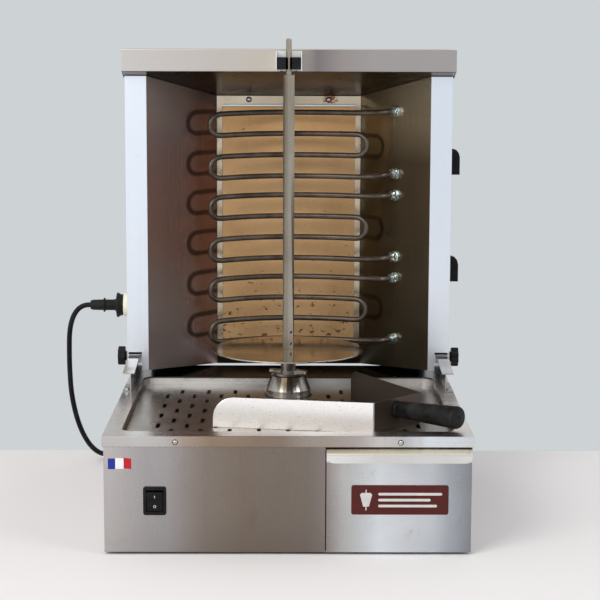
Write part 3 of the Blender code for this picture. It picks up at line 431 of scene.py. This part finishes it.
M = {
    "panel": steel(
        "panel_steel", (1.08, 1.08, 1.08), (0.95, 0.94, 0.925), 0.30, 0.07, "Z", 0.05, 3.0, PALE_BROWN, -0.03,
        panel_painted_reflection, streak=0.06,
    ),
    "shell": steel("shell_steel", (0.55, 0.55, 0.55), (0.46, 0.45, 0.44), 0.30, 0.07, "X", 0.08, 4.0),
    "drawer": steel(
        "drawer_steel", (1.18, 1.18, 1.18), (1.02, 1.01, 1.0), 0.26, 0.08, "X", 0.06, 7.0, PALE_BROWN, 0.02,
        drawer_painted_light, streak=0.08,
    ),
    "lid": steel(
        "lid_steel", (1.08, 1.08, 1.08), (0.95, 0.94, 0.925), 0.25, 0.07, "X", 0.08, 5.0, PALE_BROWN, 0.0, lid_painted_light
    ),
    "tray": steel("tray_steel", (0.47, 0.42, 0.37), (0.34, 0.295, 0.25), 0.30, 0.07, "X", 0.12, 6.0, BROWN, 0.0),
    "column": steel("column_steel", (0.86, 0.90, 0.95), (0.78, 0.83, 0.89), 0.32, 0.05, "Z", 0.06, 3.0),
    "hood": steel(
        "hood_steel", (1.05, 1.05, 1.05), (0.93, 0.92, 0.91), 0.32, 0.06, "X", 0.08, 3.5, None, 0.0, hood_painted_reflection
    ),
    "back": steel(
        "back_steel", (0.55, 0.55, 0.545), (0.46, 0.45, 0.44), 0.34, 0.06, "Z", 0.08, 4.0, None, 0.0, back_painted_shade
    ),
    # The two reflectors are one steel; the right one's darker base colour is painted shade.
    "left": steel(
        "left_reflector_steel", (0.27, 0.225, 0.22), (0.25, 0.185, 0.17), 0.24, 0.03, "Z", 0.03, 5.0,
        (0.22, 0.11, 0.08), 0.03, left_painted_light, 0.75,
    ),
    "right": steel(
        "right_reflector_steel", (0.125, 0.108, 0.070), (0.088, 0.074, 0.048), 0.24, 0.03, "Z", 0.03, 6.0,
        (0.07, 0.05, 0.033), 0.02, right_painted_light, 0.85,
    ),
    "ceiling": steel("ceiling_steel", (0.045, 0.036, 0.028), (0.028, 0.023, 0.018), 0.26, 0.05, "X", 0.05, 6.0),
    "frame": steel(
        "frame_steel", (0.64, 0.54, 0.40), (0.52, 0.42, 0.30), 0.28, 0.06, "X", 0.06, 9.0, BROWN, -0.03, frame_rust_and_painted_shade,
        1.0, 0.08,
    ),
    "bracket": steel("bracket_steel", (0.58, 0.565, 0.54), (0.42, 0.40, 0.375), 0.26, 0.07, "Y", 0.08, 18.0),
    "fork": steel("fork_steel", (0.90, 0.90, 0.89), (0.80, 0.80, 0.79), 0.32, 0.05, "Y", 0.05, 18.0, metallic=0.8),
    "bar": steel(
        "bar_steel", (0.48, 0.45, 0.40), (0.36, 0.335, 0.295), 0.25, 0.06, "Z", 0.12, 9.0, BROWN, -0.03, bar_painted_light
    ),
    "scoop": steel(
        "scoop_steel", (0.96, 0.95, 0.94), (0.93, 0.92, 0.91), 0.30, 0.01, "X", 0.012, 3.0, None, 0.0, scoop_painted_shade,
        0.6, 0.02, 0.05,
    ),
    "screw": steel("screw_steel", (0.56, 0.56, 0.55), (0.42, 0.42, 0.41), 0.22, 0.05, "X", 0.04, 60.0),
    "zinc": steel("zinc_steel", (0.62, 0.72, 0.74), (0.48, 0.56, 0.58), 0.25, 0.07, "X", 0.05, 90.0),
    "bare": steel("bare_sheath_steel", (0.42, 0.43, 0.40), (0.30, 0.30, 0.27), 0.25, 0.06, "X", 0.05, 60.0),
    # The disc's brown tone is painted reflection of the fire brick.
    "disc": turned_steel("disc_steel", (0.52, 0.455, 0.375), 0.11, SPIT_AXIS),
    "cone": turned_steel("cone_steel", (0.46, 0.44, 0.41), 0.14, SPIT_AXIS),
    "coupling": turned_steel("coupling_steel", (0.36, 0.34, 0.31), 0.20, SPIT_AXIS),
    "brick": fire_brick("fire_brick_clay"),
    "sheath": sheath("element_sheath_metal"),
    "plastic": moulded("black_plastic_moulded", (0.007, 0.007, 0.008), 0.40, 700.0, 0.12, 0.02),
    "rubber": moulded("black_rubber_moulded", (0.010, 0.010, 0.010), 0.50, 500.0, 0.2, 0.03),
    "handle": moulded("handle_plastic", (0.004, 0.0038, 0.0035), 0.42, 350.0, 0.2, 0.05),
    "cord": moulded("cord_rubber", (0.006, 0.006, 0.007), 0.42, 900.0, 0.1, 0.03),
    "cream": moulded("cream_plastic_moulded", (0.74, 0.68, 0.54), 0.38, 800.0, 0.08, -0.1),
    "motor": moulded("motor_paint", (0.20, 0.21, 0.22), 0.5, 300.0, 0.3),
    "red": enamel("badge_enamel", (0.068, 0.006, 0.004), 0.5),
    "pale": enamel("badge_print", (0.60, 0.58, 0.56), 0.42),
    "white": enamel("white_print", (0.78, 0.79, 0.80), 0.45),
    "blue": enamel("blue_print", (0.012, 0.025, 0.26), 0.42),
    "bright_red": enamel("red_print", (0.45, 0.010, 0.018), 0.42),
    "screw_ring_dark": enamel("screw_ring_dark", (0.05, 0.042, 0.036), 0.6),
    "ink": enamel("dark_print", (0.03, 0.03, 0.035), 0.5),
}


# Mesh tools

ROUND = 24  # corners of a small round part


def finish(name, shape, look, body, angle=35, bevel=0.0, segments=2):
    """Makes the piece, shades it smooth between sharp edges, and lets it ride on its body."""
    bmesh.ops.recalc_face_normals(shape, faces=shape.faces)
    mesh = bpy.data.meshes.new(name)
    shape.to_mesh(mesh)
    shape.free()
    mesh.materials.append(M[look])
    mesh.shade_smooth()
    mesh.set_sharp_from_angle(angle=math.radians(angle))
    made = bpy.data.objects.new(name, mesh)
    bpy.context.scene.collection.objects.link(made)
    if bevel:
        soften(made, bevel, segments)
    if body:
        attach(made, body)
    return made


def soften(made, width, segments=2, weld=False):
    if weld:
        made.modifiers.new("weld", "WELD").merge_threshold = 0.00001
    bevel = made.modifiers.new("bevel", "BEVEL")
    bevel.width = width
    bevel.segments = segments
    bevel.limit_method = "ANGLE"
    bevel.angle_limit = math.radians(40)
    bevel.harden_normals = True


def prism_shape(outline, axis, low, high):
    def place(u, v, w):
        return {"X": (w, u, v), "Y": (u, w, v), "Z": (u, v, w)}[axis]

    shape = bmesh.new()
    face = shape.faces.new([shape.verts.new(place(u, v, low)) for u, v in outline])
    moved = bmesh.ops.extrude_face_region(shape, geom=[face])["geom"]
    step = Vector(place(0, 0, high - low))
    bmesh.ops.translate(shape, vec=step, verts=[g for g in moved if isinstance(g, bmesh.types.BMVert)])
    return shape


def box_shape(low, high):
    outline = [(low[0], low[1]), (high[0], low[1]), (high[0], high[1]), (low[0], high[1])]
    return prism_shape(outline, "Z", low[2], high[2])


def circle(centre, radius, steps, start=0.0):
    angles = [start + 2 * math.pi * k / steps for k in range(steps)]
    return [(centre[0] + radius * math.cos(a), centre[1] + radius * math.sin(a)) for a in angles]


def arc(centre, radius, start, end, steps):
    angles = [math.radians(start + (end - start) * i / steps) for i in range(steps + 1)]
    return [(centre[0] + radius * math.cos(a), centre[1] + radius * math.sin(a)) for a in angles]


def rounded(low, high, radius, steps=4):
    (x0, y0), (x1, y1) = low, high
    points = []
    for x, y, start in ((x1, y0, -90), (x1, y1, 0), (x0, y1, 90), (x0, y0, 180)):
        centre = (x - radius if x == x1 else x + radius, y - radius if y == y1 else y + radius)
        points += arc(centre, radius, start, start + 90, steps)
    return points


def turned_shape(profile, steps=32):
    """(radius, height) points turned about Z: from axis to axis, or a closed ring."""
    shape = bmesh.new()
    rings = []
    for radius, height in profile:
        spots = circle((0, 0), radius, steps) if radius > 0 else [(0, 0)]
        rings.append([shape.verts.new((x, y, height)) for x, y in spots])
    pairs = list(zip(rings, rings[1:]))
    if all(radius > 0 for radius, _ in profile):
        pairs.append((rings[-1], rings[0]))
    for first, second in pairs:
        for k in range(steps):
            n = (k + 1) % steps
            corners = [first[k % len(first)], first[n % len(first)], second[n % len(second)], second[k % len(second)]]
            shape.faces.new(list(dict.fromkeys(corners)))
    return shape


def sweep_shape(points, radius, sides=12):
    """A closed round tube along points, its rings carried along without twisting."""
    points = [Vector(p) for p in points]
    shape = bmesh.new()
    rings = []
    side = None
    for i, point in enumerate(points):
        along = (points[min(i + 1, len(points) - 1)] - points[max(i - 1, 0)]).normalized()
        if side is None:
            side = along.orthogonal().normalized()
        side = (side - along * side.dot(along)).normalized()
        other = along.cross(side)
        ring = []
        for k in range(sides):
            angle = 2 * math.pi * k / sides
            ring.append(shape.verts.new(point + (side * math.cos(angle) + other * math.sin(angle)) * radius))
        rings.append(ring)
    for first, second in zip(rings, rings[1:]):
        for k in range(sides):
            n = (k + 1) % sides
            shape.faces.new((first[k], first[n], second[n], second[k]))
    shape.faces.new(rings[0])
    shape.faces.new(rings[-1])
    return shape


def smooth_route(route, spacing):
    knots = [Vector(p) for p in route]
    ends = [2 * knots[0] - knots[1], *knots, 2 * knots[-1] - knots[-2]]
    points = []
    for a, b, c, d in zip(ends, ends[1:], ends[2:], ends[3:]):
        steps = max(1, round((c - b).length / spacing))
        for i in range(steps):
            t = i / steps
            points.append(
                0.5 * (2 * b + (c - a) * t + (2 * a - 5 * b + 4 * c - d) * t**2 + (3 * b - a - 3 * c + d) * t**3)
            )
    return [*points, knots[-1]]


def towards(at, axis):
    """The matrix that puts a piece made upright at the origin at a place, its top along axis."""
    return Matrix.Translation(at) @ Vector(axis).to_track_quat("Z", "Y").to_matrix().to_4x4()


def put(shape, matrix):
    bmesh.ops.transform(shape, matrix=matrix, verts=shape.verts)
    return shape


def screw(name, at, axis, r, body):
    """A pan-head screw of radius r with a cross recess, and a dark ring round it."""
    place = towards(at, axis)
    dome = [(1, 0.10), (0.93, 0.30), (0.72, 0.48), (0.40, 0.58), (0, 0.60)]
    shape = turned_shape([(0, -0.0005), (r, -0.0005), *((u * r, v * r) for u, v in dome)], ROUND)
    head = finish(name, put(shape, place), "screw", None)
    a, b = 0.13 * r, 0.55 * r
    cross = [
        (a, a), (a, b), (-a, b), (-a, a), (-b, a), (-b, -a), (-a, -a), (-a, -b), (a, -b), (a, -a), (b, -a), (b, a),
    ]
    cutter = finish(name + "_cut", put(prism_shape(cross, "Z", 0.22 * r, r), place), "screw", None)
    modifier = head.modifiers.new("cross", "BOOLEAN")
    modifier.object = cutter
    modifier.operation = "DIFFERENCE"
    graph = bpy.context.evaluated_depsgraph_get()
    mesh = bpy.data.meshes.new_from_object(head.evaluated_get(graph))
    head.modifiers.clear()
    head.data = mesh
    bpy.data.objects.remove(cutter)
    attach(head, body)
    ring = turned_shape([(0.9 * r, -0.0002), (1.28 * r, -0.0002), (1.28 * r, 0.00012), (0.9 * r, 0.00012)], ROUND)
    finish(name + "_ring", put(ring, place), "screw_ring_dark", body)


def hex_nut(name, at, axis, across, thick, hole, body, look="zinc", turn=0.0):
    """A chamfered hexagon nut, standing on a place and growing along axis."""
    corner = across / math.sqrt(3)
    shape = bmesh.new()
    rings = []
    levels = ((0.0, across / 2), (0.12 * thick, corner), (0.88 * thick, corner), (thick, across / 2))
    for height, reach in levels:
        ring = []
        for k in range(ROUND):
            angle = 2 * math.pi * k / ROUND
            flat = (across / 2) / math.cos((angle + math.pi / 6) % (math.pi / 3) - math.pi / 6)
            r = min(flat, reach)
            ring.append(shape.verts.new((r * math.cos(angle + turn), r * math.sin(angle + turn), height)))
        rings.append(ring)
    for height in (thick, 0.0):
        rings.append([shape.verts.new((x, y, height)) for x, y in circle((0, 0), hole, ROUND, turn)])
    rings.append(rings[0])
    for first, second in zip(rings, rings[1:]):
        for k in range(ROUND):
            n = (k + 1) % ROUND
            shape.faces.new((first[k], first[n], second[n], second[k]))
    return finish(name, put(shape, towards(at, axis)), look, body, 25)


# CAD pieces that stay, with a real surface

LOOKS = {
    "base_shell": ("shell", 0.0005),
    "front_panel": ("panel", 0.0005),
    "deck_lid": ("lid", 0.0011),
    "perforated_tray": ("tray", 0),
    "drip_pan": ("tray", 0),
    "drawer_divider": ("shell", 0),
    "drawer_runner_left": ("shell", 0),
    "drawer_runner_right": ("shell", 0),
    "motor_bracket": ("shell", 0.0004),
    "hub_cone": ("cone", 0.0006),
    "slide_rail_left": ("bracket", 0.0004),
    "slide_rail_right": ("bracket", 0.0004),
    "drawer_front": ("drawer", 0.0006),
    "drawer_tray": ("drawer", 0.0003),
    "spit_bar": ("bar", 0.0006),
    "drive_coupling": ("coupling", 0.0004),
    "meat_disc": ("disc", 0.0004),
    "head_side_left": ("column", 0.0004),
    "head_side_right": ("column", 0.0004),
    "hood": ("hood", 0.0011),
    "ceiling_reflector": ("ceiling", 0),
    "reflector_left": ("left", 0.0003),
    "reflector_right": ("right", 0.0003),
    "brick_frame": ("frame", 0.0003),
    "head_back": ("back", 0.0003),
    "bearing_bracket": ("fork", 0.0005),
    "bearing_block": ("plastic", 0.0006),
    "heat_regulator_upper": ("plastic", 0.0006),
    "heat_regulator_lower": ("plastic", 0.0006),
    "clamp_plate_left": ("bracket", 0.0004),
    "clamp_plate_right": ("bracket", 0.0004),
    "inlet_socket": ("cream", 0.0005),
    "plug": ("rubber", 0.0007),
    "gearmotor": ("motor", 0.0008),
    "switch_bezel": ("plastic", 0.0008),
    "rocker": ("plastic", 0.0007),
    "badge": ("red", 0.0002),
    "base_gland": ("plastic", 0.0005),
    "control_knob_upper": ("plastic", 0.0009),
    "control_knob_lower": ("plastic", 0.0009),
    "scoop_pan": ("scoop", 0.0003),
}
for end in ("front", "back"):
    for side in ("left", "right"):
        LOOKS[f"foot_{end}_{side}"] = ("rubber", 0)
for node, (look, width) in LOOKS.items():
    piece = NODES[node]
    piece.data.materials.clear()
    piece.data.materials.append(M[look])
    if width:
        soften(piece, width, 2, weld=True)


# The lead from the base's gland to the plug in the head's socket

CORD_RADIUS = 0.00475


def lead():
    y, z = middle("inlet_socket").y, middle("inlet_socket").z
    gland = middle("base_gland")
    down = [
        (-0.3671, y, z), (-0.3770, y, z - 0.001), (-0.3880, y, z - 0.007), (-0.3970, y, z - 0.019),
        (-0.4030, y, z - 0.036), (-0.4060, y, z - 0.057), (-0.4068, y, z - 0.082), (-0.4068, y, 0.2050),
        (-0.4062, y + 0.0005, 0.1800), (-0.4045, 0.2410, 0.1500), (-0.4005, 0.2450, 0.1200),
        (-0.3945, 0.2530, 0.0900), (-0.3860, 0.2660, 0.0610), (-0.3740, 0.2850, 0.0340), (-0.3590, 0.3080, 0.0150),
        (-0.3390, 0.3330, 0.0065), (-0.3150, 0.3550, 0.0050), (-0.2880, 0.3690, 0.0060), (-0.2620, 0.3730, 0.0120),
        (-0.2380, 0.3670, 0.0260), (-0.2190, 0.3540, 0.0430), (-0.2060, 0.3360, 0.0560), (gland.x, 0.3200, gland.z),
        (gland.x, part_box("base_gland")[1].y + 0.0008, gland.z),
    ]
    points = smooth_route(down, 0.006)[::-1]
    piece = finish("power_lead", sweep_shape(points, CORD_RADIUS, 14), "cord", None)
    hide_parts("cord_upper", "cord_lower")
    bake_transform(piece)


lead()


# Heating elements, their nuts and the fire brick

ELEMENT_PITCH = 0.039
PASS_HALF = 0.124
TUBE_RADIUS = 0.0050
BOW_FRONT_Y, BOW_RADIUS = 0.264, 0.333


def bow_y(x):
    return BOW_FRONT_Y - BOW_RADIUS + math.sqrt(BOW_RADIUS**2 - x**2)


def sag(x):
    return -0.003 * max(0, -x / PASS_HALF) ** 2


low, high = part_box("reflector_right")
MOUTH = Vector((high.x - 0.0009, low.y))
REAR = Vector((low.x, high.y - 0.0007))
WALL_OUT = Vector(((REAR - MOUTH).y, -(REAR - MOUTH).x)).normalized()
SPOT = (middle("element_gland_1_upper") * 0.5 + middle("element_gland_1_lower") * 0.5).xy + WALL_OUT * 0.0039


def terminal(z, rise):
    places = (
        (0.154, 0.224), (0.166, 0.2135), (0.1755, 0.2075), SPOT - WALL_OUT * 0.012, SPOT, SPOT + WALL_OUT * 0.020
    )
    return [(x, y, z + rise * min(1, (i + 1) / 4)) for i, (x, y) in enumerate(places)]


def element(number, centre_z):
    bend = ELEMENT_PITCH / 2
    heights = [centre_z + ELEMENT_PITCH * k for k in (1.5, 0.5, -0.5, -1.5)]
    points = terminal(heights[0], 0.004)[::-1]
    xs = [PASS_HALF * k / 4 for k in range(4, -5, -1)]
    for index, z in enumerate(heights):
        points += [(x, bow_y(x), z + sag(x)) for x in (xs if index % 2 == 0 else xs[::-1])]
        if index == 3:
            break
        side = -1 if index % 2 == 0 else 1
        for k in range(1, 10):
            angle = math.pi * k / 10
            x = side * (PASS_HALF + bend * math.sin(angle))
            points.append((x, bow_y(x), z - bend + bend * math.cos(angle) + sag(x)))
    points += terminal(heights[3], 0.008)
    piece = finish(
        f"element_tube_{number}", sweep_shape(smooth_route(points, 0.006), TUBE_RADIUS), "sheath", "head",
    )
    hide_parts(f"heating_element_{number}")
    for label, step, rise in (("upper", 1.5, 0.004), ("lower", -1.5, 0.008)):
        z = centre_z + ELEMENT_PITCH * step + rise
        inward = Vector((-WALL_OUT.x, -WALL_OUT.y, 0))
        foot = Vector((*SPOT, z))
        finish(
            f"terminal_washer_{number}_{label}",
            put(
                turned_shape([(0.0048, 0.0002), (0.0104, 0.0002), (0.0104, 0.0012), (0.0048, 0.0012)], ROUND),
                towards(foot, inward),
            ),
            "zinc", "head",
        )
        inner = hex_nut(
            f"terminal_nut_{number}_{label}", foot + inward * 0.0013, inward, 0.0172, 0.0044, 0.0048, "head",
            turn=0.3 * number,
        )
        hex_nut(
            f"terminal_locknut_{number}_{label}", foot + inward * 0.0062, inward, 0.0158, 0.0042, 0.0048, "head",
            turn=0.9 - 0.4 * number,
        )
        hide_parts(f"element_gland_{number}_{label}")
        # The end of the sheath by the nuts stays bare metal.
        bare = [foot + inward * t for t in (0.0105, 0.013, 0.0155)]
        finish(f"terminal_sleeve_{number}_{label}", sweep_shape(bare, 0.0053, 14), "bare", "head")


for number, centre_z in enumerate((0.6085, 0.4565, 0.3045), 1):
    element(number, centre_z)


def bricks():
    low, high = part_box("fire_brick")
    levels = [low.z, 0.2865, 0.3635, 0.4365, 0.5145, 0.5895, high.z]
    for k, (bottom, top) in enumerate(zip(levels, levels[1:]), 1):
        shape = box_shape((low.x, low.y + 0.00012 * (k % 2), bottom), (high.x, high.y, top))
        piece = finish(f"brick_course_{k}", shape, "brick", "head", 35, 0.0003)
        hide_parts("fire_brick")


bricks()


def frame_lip():
    """The folded edge under the frame's top strip, in bright column steel: a painted highlight along the fold."""
    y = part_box("brick_frame")[0].y
    finish(
        "frame_lip", box_shape((-0.1235, y - 0.0022, 0.6768), (0.1235, y + 0.0004, 0.6800)), "column", "head",
        35, 0.0006,
    )


frame_lip()


# Screws, bolts and nuts

lid_low, lid_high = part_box("deck_lid")
for label, x in (("left", -0.1755), ("right", 0.1755)):
    screw(f"lid_screw_{label}", (x, lid_low.y, 0.1805), (0, -1, 0), 0.0036, "base")
    screw(f"lid_screw_back_{label}", (x, lid_high.y, 0.1805), (0, 1, 0), 0.0036, "base")
for side in (-1, 1):
    label = "left" if side < 0 else "right"
    for k, y in enumerate((-0.230, -0.020, 0.200)):
        screw(f"lid_screw_{label}_{k}", (0.290 * side, y, 0.1805), (side, 0, 0), 0.0036, "base")
    rail_low, rail_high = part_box(f"slide_rail_{label}")
    for k, y in enumerate((rail_low.y + 0.007, rail_high.y - 0.010)):
        foot = Vector((0.2815 * side, y, rail_low.z + 0.0020))
        hex_nut(
            f"rail_bolt_{label}_{k}", foot, (0, 0, 1), 0.0088, 0.0040, 0.0010, "base", "screw", 0.4
        )
    screw(
        f"frame_screw_{label}", (0.074 * side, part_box("brick_frame")[0].y + 0.004, 0.689), (0, -1, 0), 0.0042, "head"
    )
    screw(f"bearing_screw_{label}", (0.0130 * side, 0.1142, 0.7465), (0, -1, 0), 0.0022, "head")
    for k, z in enumerate((0.262, 0.470, 0.715)):
        screw(f"back_screw_{label}_{k}", (0.281 * side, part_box("head_back")[1].y, z), (0, 1, 0), 0.0034, "head")
    for k, y in enumerate((0.150, 0.300)):
        screw(f"hood_screw_{label}_{k}", (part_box("hood")[1].x * side, y, 0.757), (side, 0, 0), 0.0034, "head")
    clamp = middle(f"clamp_knob_{label}")
    hex_nut(
        f"clamp_nut_{label}", (0.2925 * side, clamp.y, clamp.z), (side, 0, 0), 0.0130, 0.0034, 0.0042, "head",
        "screw", 0.2,
    )


# Clamp knobs: star grips on a short hub

def clamp_knob(side):
    label = "left" if side < 0 else "right"
    centre = middle(f"clamp_knob_{label}")
    outline = []
    for k in range(56):
        angle = 2 * math.pi * k / 56
        r = 0.0160 + 0.0015 * math.cos(7 * angle)
        outline.append((r * math.cos(angle), r * math.sin(angle)))
    outward = Matrix(((0, 0, side, 0), (side, 0, 0, 0), (0, 1, 0, 0), (0, 0, 0, 1)))
    head = put(prism_shape(outline, "Z", 0.2960, 0.3090), Matrix.Translation((0, centre.y, centre.z)) @ outward)
    star = finish(f"clamp_star_{label}", head, "plastic", f"clamp_{label}", 30, 0.0016, 3)
    hub = turned_shape(
        [(0, 0.2888), (0.0038, 0.2888), (0.0038, 0.2928), (0.0088, 0.2930), (0.0092, 0.2970), (0, 0.2970)], ROUND
    )
    place = towards((0, centre.y, centre.z), (side, 0, 0))
    finish(f"clamp_hub_{label}", put(hub, place), "plastic", f"clamp_{label}")
    cap = turned_shape([(0, 0.3085), (0.0070, 0.3085), (0.0070, 0.3090), (0.0055, 0.3094), (0, 0.3095)], ROUND)
    finish(f"clamp_cap_{label}", put(cap, place), "screw", f"clamp_{label}")
    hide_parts(f"clamp_knob_{label}")


clamp_knob(-1)
clamp_knob(1)


# Printed marks

def plate(name, outline, y, thick, look, body):
    """A thin print or label on a face that looks towards -Y."""
    return finish(name, prism_shape(outline, "Y", y - thick, y), look, body)


def rectangle(low, high):
    return [low, (high[0], low[1]), high, (low[0], high[1])]


def label_and_badge():
    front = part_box("front_panel")[0].y
    z0, z1 = 0.1370, 0.1540
    white = rectangle((-0.2690, z0 + 0.0005), (-0.2560, z1 + 0.0005))
    blue = [(-0.2805, z0), (-0.2690, z0), (-0.2690, z1), (-0.2805, z1)]
    red = [(-0.2560, z0 + 0.0012), (-0.2440, z0 + 0.0002), (-0.2440, z1), (-0.2560, z1 + 0.0012)]
    for name, outline, look in (("white", white, "white"), ("blue", blue, "blue"), ("red", red, "bright_red")):
        plate(f"label_{name}", outline, front, 0.00015, look, "base")

    def on_badge(name, outline, thick=0.00012):
        plate(name, outline, low.y, thick, "pale", "drawer")

    # A plain picture of a spit with meat on it, and three bars.
    low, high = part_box("badge")
    x = low.x + 0.023
    mid = (low.z + high.z) / 2
    on_badge("badge_spit", rectangle((x - 0.0008, mid - 0.0165), (x + 0.0008, mid + 0.0165)))
    right = [(0.0045, -0.0105), (0.0095, 0.0085), (0.0070, 0.0115)]
    left = [(-u, v) for u, v in right]
    on_badge("badge_meat", [(x + u, mid + v) for u, v in (left[0], *right, left[2], left[1])], 0.00020)
    for k, reach in enumerate((0.100, 0.082, 0.092)):
        z = mid + 0.0095 - 0.0095 * k
        near = low.x + 0.042
        on_badge(f"badge_bar_{k + 1}", rounded((near, z - 0.0021), (near + reach, z + 0.0021), 0.002))


def rocker_marks():
    """A ring and a line, on the rocker's two faces."""
    pivot = Vector((-0.312, 0.0865))
    tilt = math.radians(7)
    off = turned_shape([(0.0016, -0.0003), (0.0022, -0.0003), (0.0022, 0.0003), (0.0016, 0.0003)], 20)
    put(off, Matrix.Rotation(math.radians(90), 4, "X"))
    on = prism_shape(rectangle((-0.0004, -0.0022), (0.0004, 0.0022)), "Y", -0.0003, 0.0003)
    for name, sign, shape in (("off", -1, off), ("on", 1, on)):
        u, v = (-0.0070, 0.0080 * sign)
        y = pivot.x + u * math.cos(tilt) - v * math.sin(tilt)
        z = pivot.y + u * math.sin(tilt) + v * math.cos(tilt)
        lean = math.atan2(0.0016, 0.0160) * sign + tilt
        put(shape, Matrix.Translation((-0.208, y, z)) @ Matrix.Rotation(lean, 4, "X"))
        finish(f"rocker_mark_{name}", shape, "white", "rocker")


def heat_knob_marks():
    """A pointer on each knob's bar, and a dial printed on the side."""
    for label in ("upper", "lower"):
        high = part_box(f"control_knob_{label}")[1]
        centre = middle(f"control_knob_{label}")
        pointer = box_shape(
            (high.x - 0.0006, centre.y - 0.0006, centre.z + 0.001),
            (high.x + 0.0001, centre.y + 0.0006, centre.z + 0.0075),
        )
        finish(f"knob_pointer_{label}", pointer, "white", f"control_{label}")
        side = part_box("head_side_right")[1].x
        for k in range(10):
            angle = math.radians(90 - 30 * k)
            out = Vector((0, math.cos(angle), math.sin(angle)))
            near = Vector((side, centre.y, centre.z)) + out * 0.0285
            tick = sweep_shape(
                [near, near + out * (0.0050 if k % 3 == 0 else 0.0032)], 0.0005 if k % 3 else 0.0007, 6
            )
            for vertex in tick.verts:
                vertex.co.x = side + (vertex.co.x - side) * 0.3
            finish(f"dial_tick_{label}_{k}", tick, "ink", "head")


label_and_badge()
rocker_marks()
heat_knob_marks()


# Scoop handle, with a collar, a waist and a rounded end

def scoop_handle():
    foot = Vector((0.1772, -0.1867, 0.206))
    axis = Vector((0.7028, -0.7114, 0.042)).normalized()
    profile = [(0, -0.0010), (0.0135, -0.0010), (0.0140, 0.0005), (0.0140, 0.0040), (0.0131, 0.0055), (0.0136, 0.010)]
    profile += [(0.0140 + 0.0040 * t / 10, 0.016 + 0.0100 * t) for t in range(0, 11)]
    profile += [
        (0.0183, 0.1225), (0.0181, 0.1260), (0.0172, 0.1285), (0.0155, 0.1297), (0.0040, 0.1300), (0.0035, 0.1290),
        (0, 0.1290),
    ]
    shape = turned_shape(profile, 40)
    put(shape, towards(foot, axis))
    piece = finish("scoop_grip", shape, "handle", "scoop", 40)
    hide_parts("scoop_handle")


scoop_handle()


# Table and light

def stage():
    shape = bmesh.new()
    shape.faces.new([shape.verts.new((x, y, 0)) for x, y in ((-1.7, -2.2), (1.7, -2.2), (1.7, 0.395), (-1.7, 0.395))])
    mesh = bpy.data.meshes.new("table")
    shape.to_mesh(mesh)
    shape.free()
    table = bpy.data.objects.new("table", mesh)
    bpy.context.scene.collection.objects.link(table)
    table.location.z = -0.0002
    material, _, shader = new_material("table_white", Roughness=0.9)
    shader.inputs["Base Color"].default_value = (0.70, 0.68, 0.68, 1)
    mesh.materials.append(material)


def light(name, at, target, size, power, colour):
    data = bpy.data.lights.new(name, "AREA")
    data.shape = "RECTANGLE"
    data.size, data.size_y = size
    data.energy = power
    data.color = colour
    made = bpy.data.objects.new(name, data)
    bpy.context.scene.collection.objects.link(made)
    made.matrix_world = towards(at, Vector(at) - Vector(target))


def world():
    made = bpy.data.worlds.new("studio")
    bpy.context.scene.world = made
    made.use_nodes = True
    tree = made.node_tree
    background = tree.nodes["Background"]
    place = add(tree, "TexCoord").outputs["Generated"]
    height = add(tree, "SeparateXYZ", {0: place}).outputs[2]
    light_tone = mix(tree, spread(tree, height, -0.35, 0.25), (0.80, 0.88, 1.0), (0.72, 0.72, 0.72))
    # The room is brighter to the front left than to the front right.
    parts = add(tree, "SeparateXYZ", {0: place})
    aside = spread(tree, parts.outputs[0], -0.45, 0.45, 1.45, 0.55)
    aside = mix(tree, spread(tree, parts.outputs[1], -0.3, 0.1), aside, PLAIN)
    light_tone = mix(tree, 1.0, light_tone, aside, "MULTIPLY")
    seen = add(tree, "LightPath").outputs["Is Camera Ray"]
    tree.links.new(mix(tree, seen, light_tone, (0.57, 0.60, 0.62)), background.inputs["Color"])
    background.inputs["Strength"].default_value = 1.0


stage()
world()
light("key", (-1.6, -2.2, 2.3), (0, 0, 0.4), (1.6, 1.6), 55, (1.0, 0.98, 0.95))
light("fill", (2.2, -1.6, 1.8), (0, 0, 0.4), (1.4, 1.4), 24, (0.95, 0.97, 1.0))
view = bpy.context.scene.view_settings
view.view_transform = "Standard"
view.exposure = 0.1
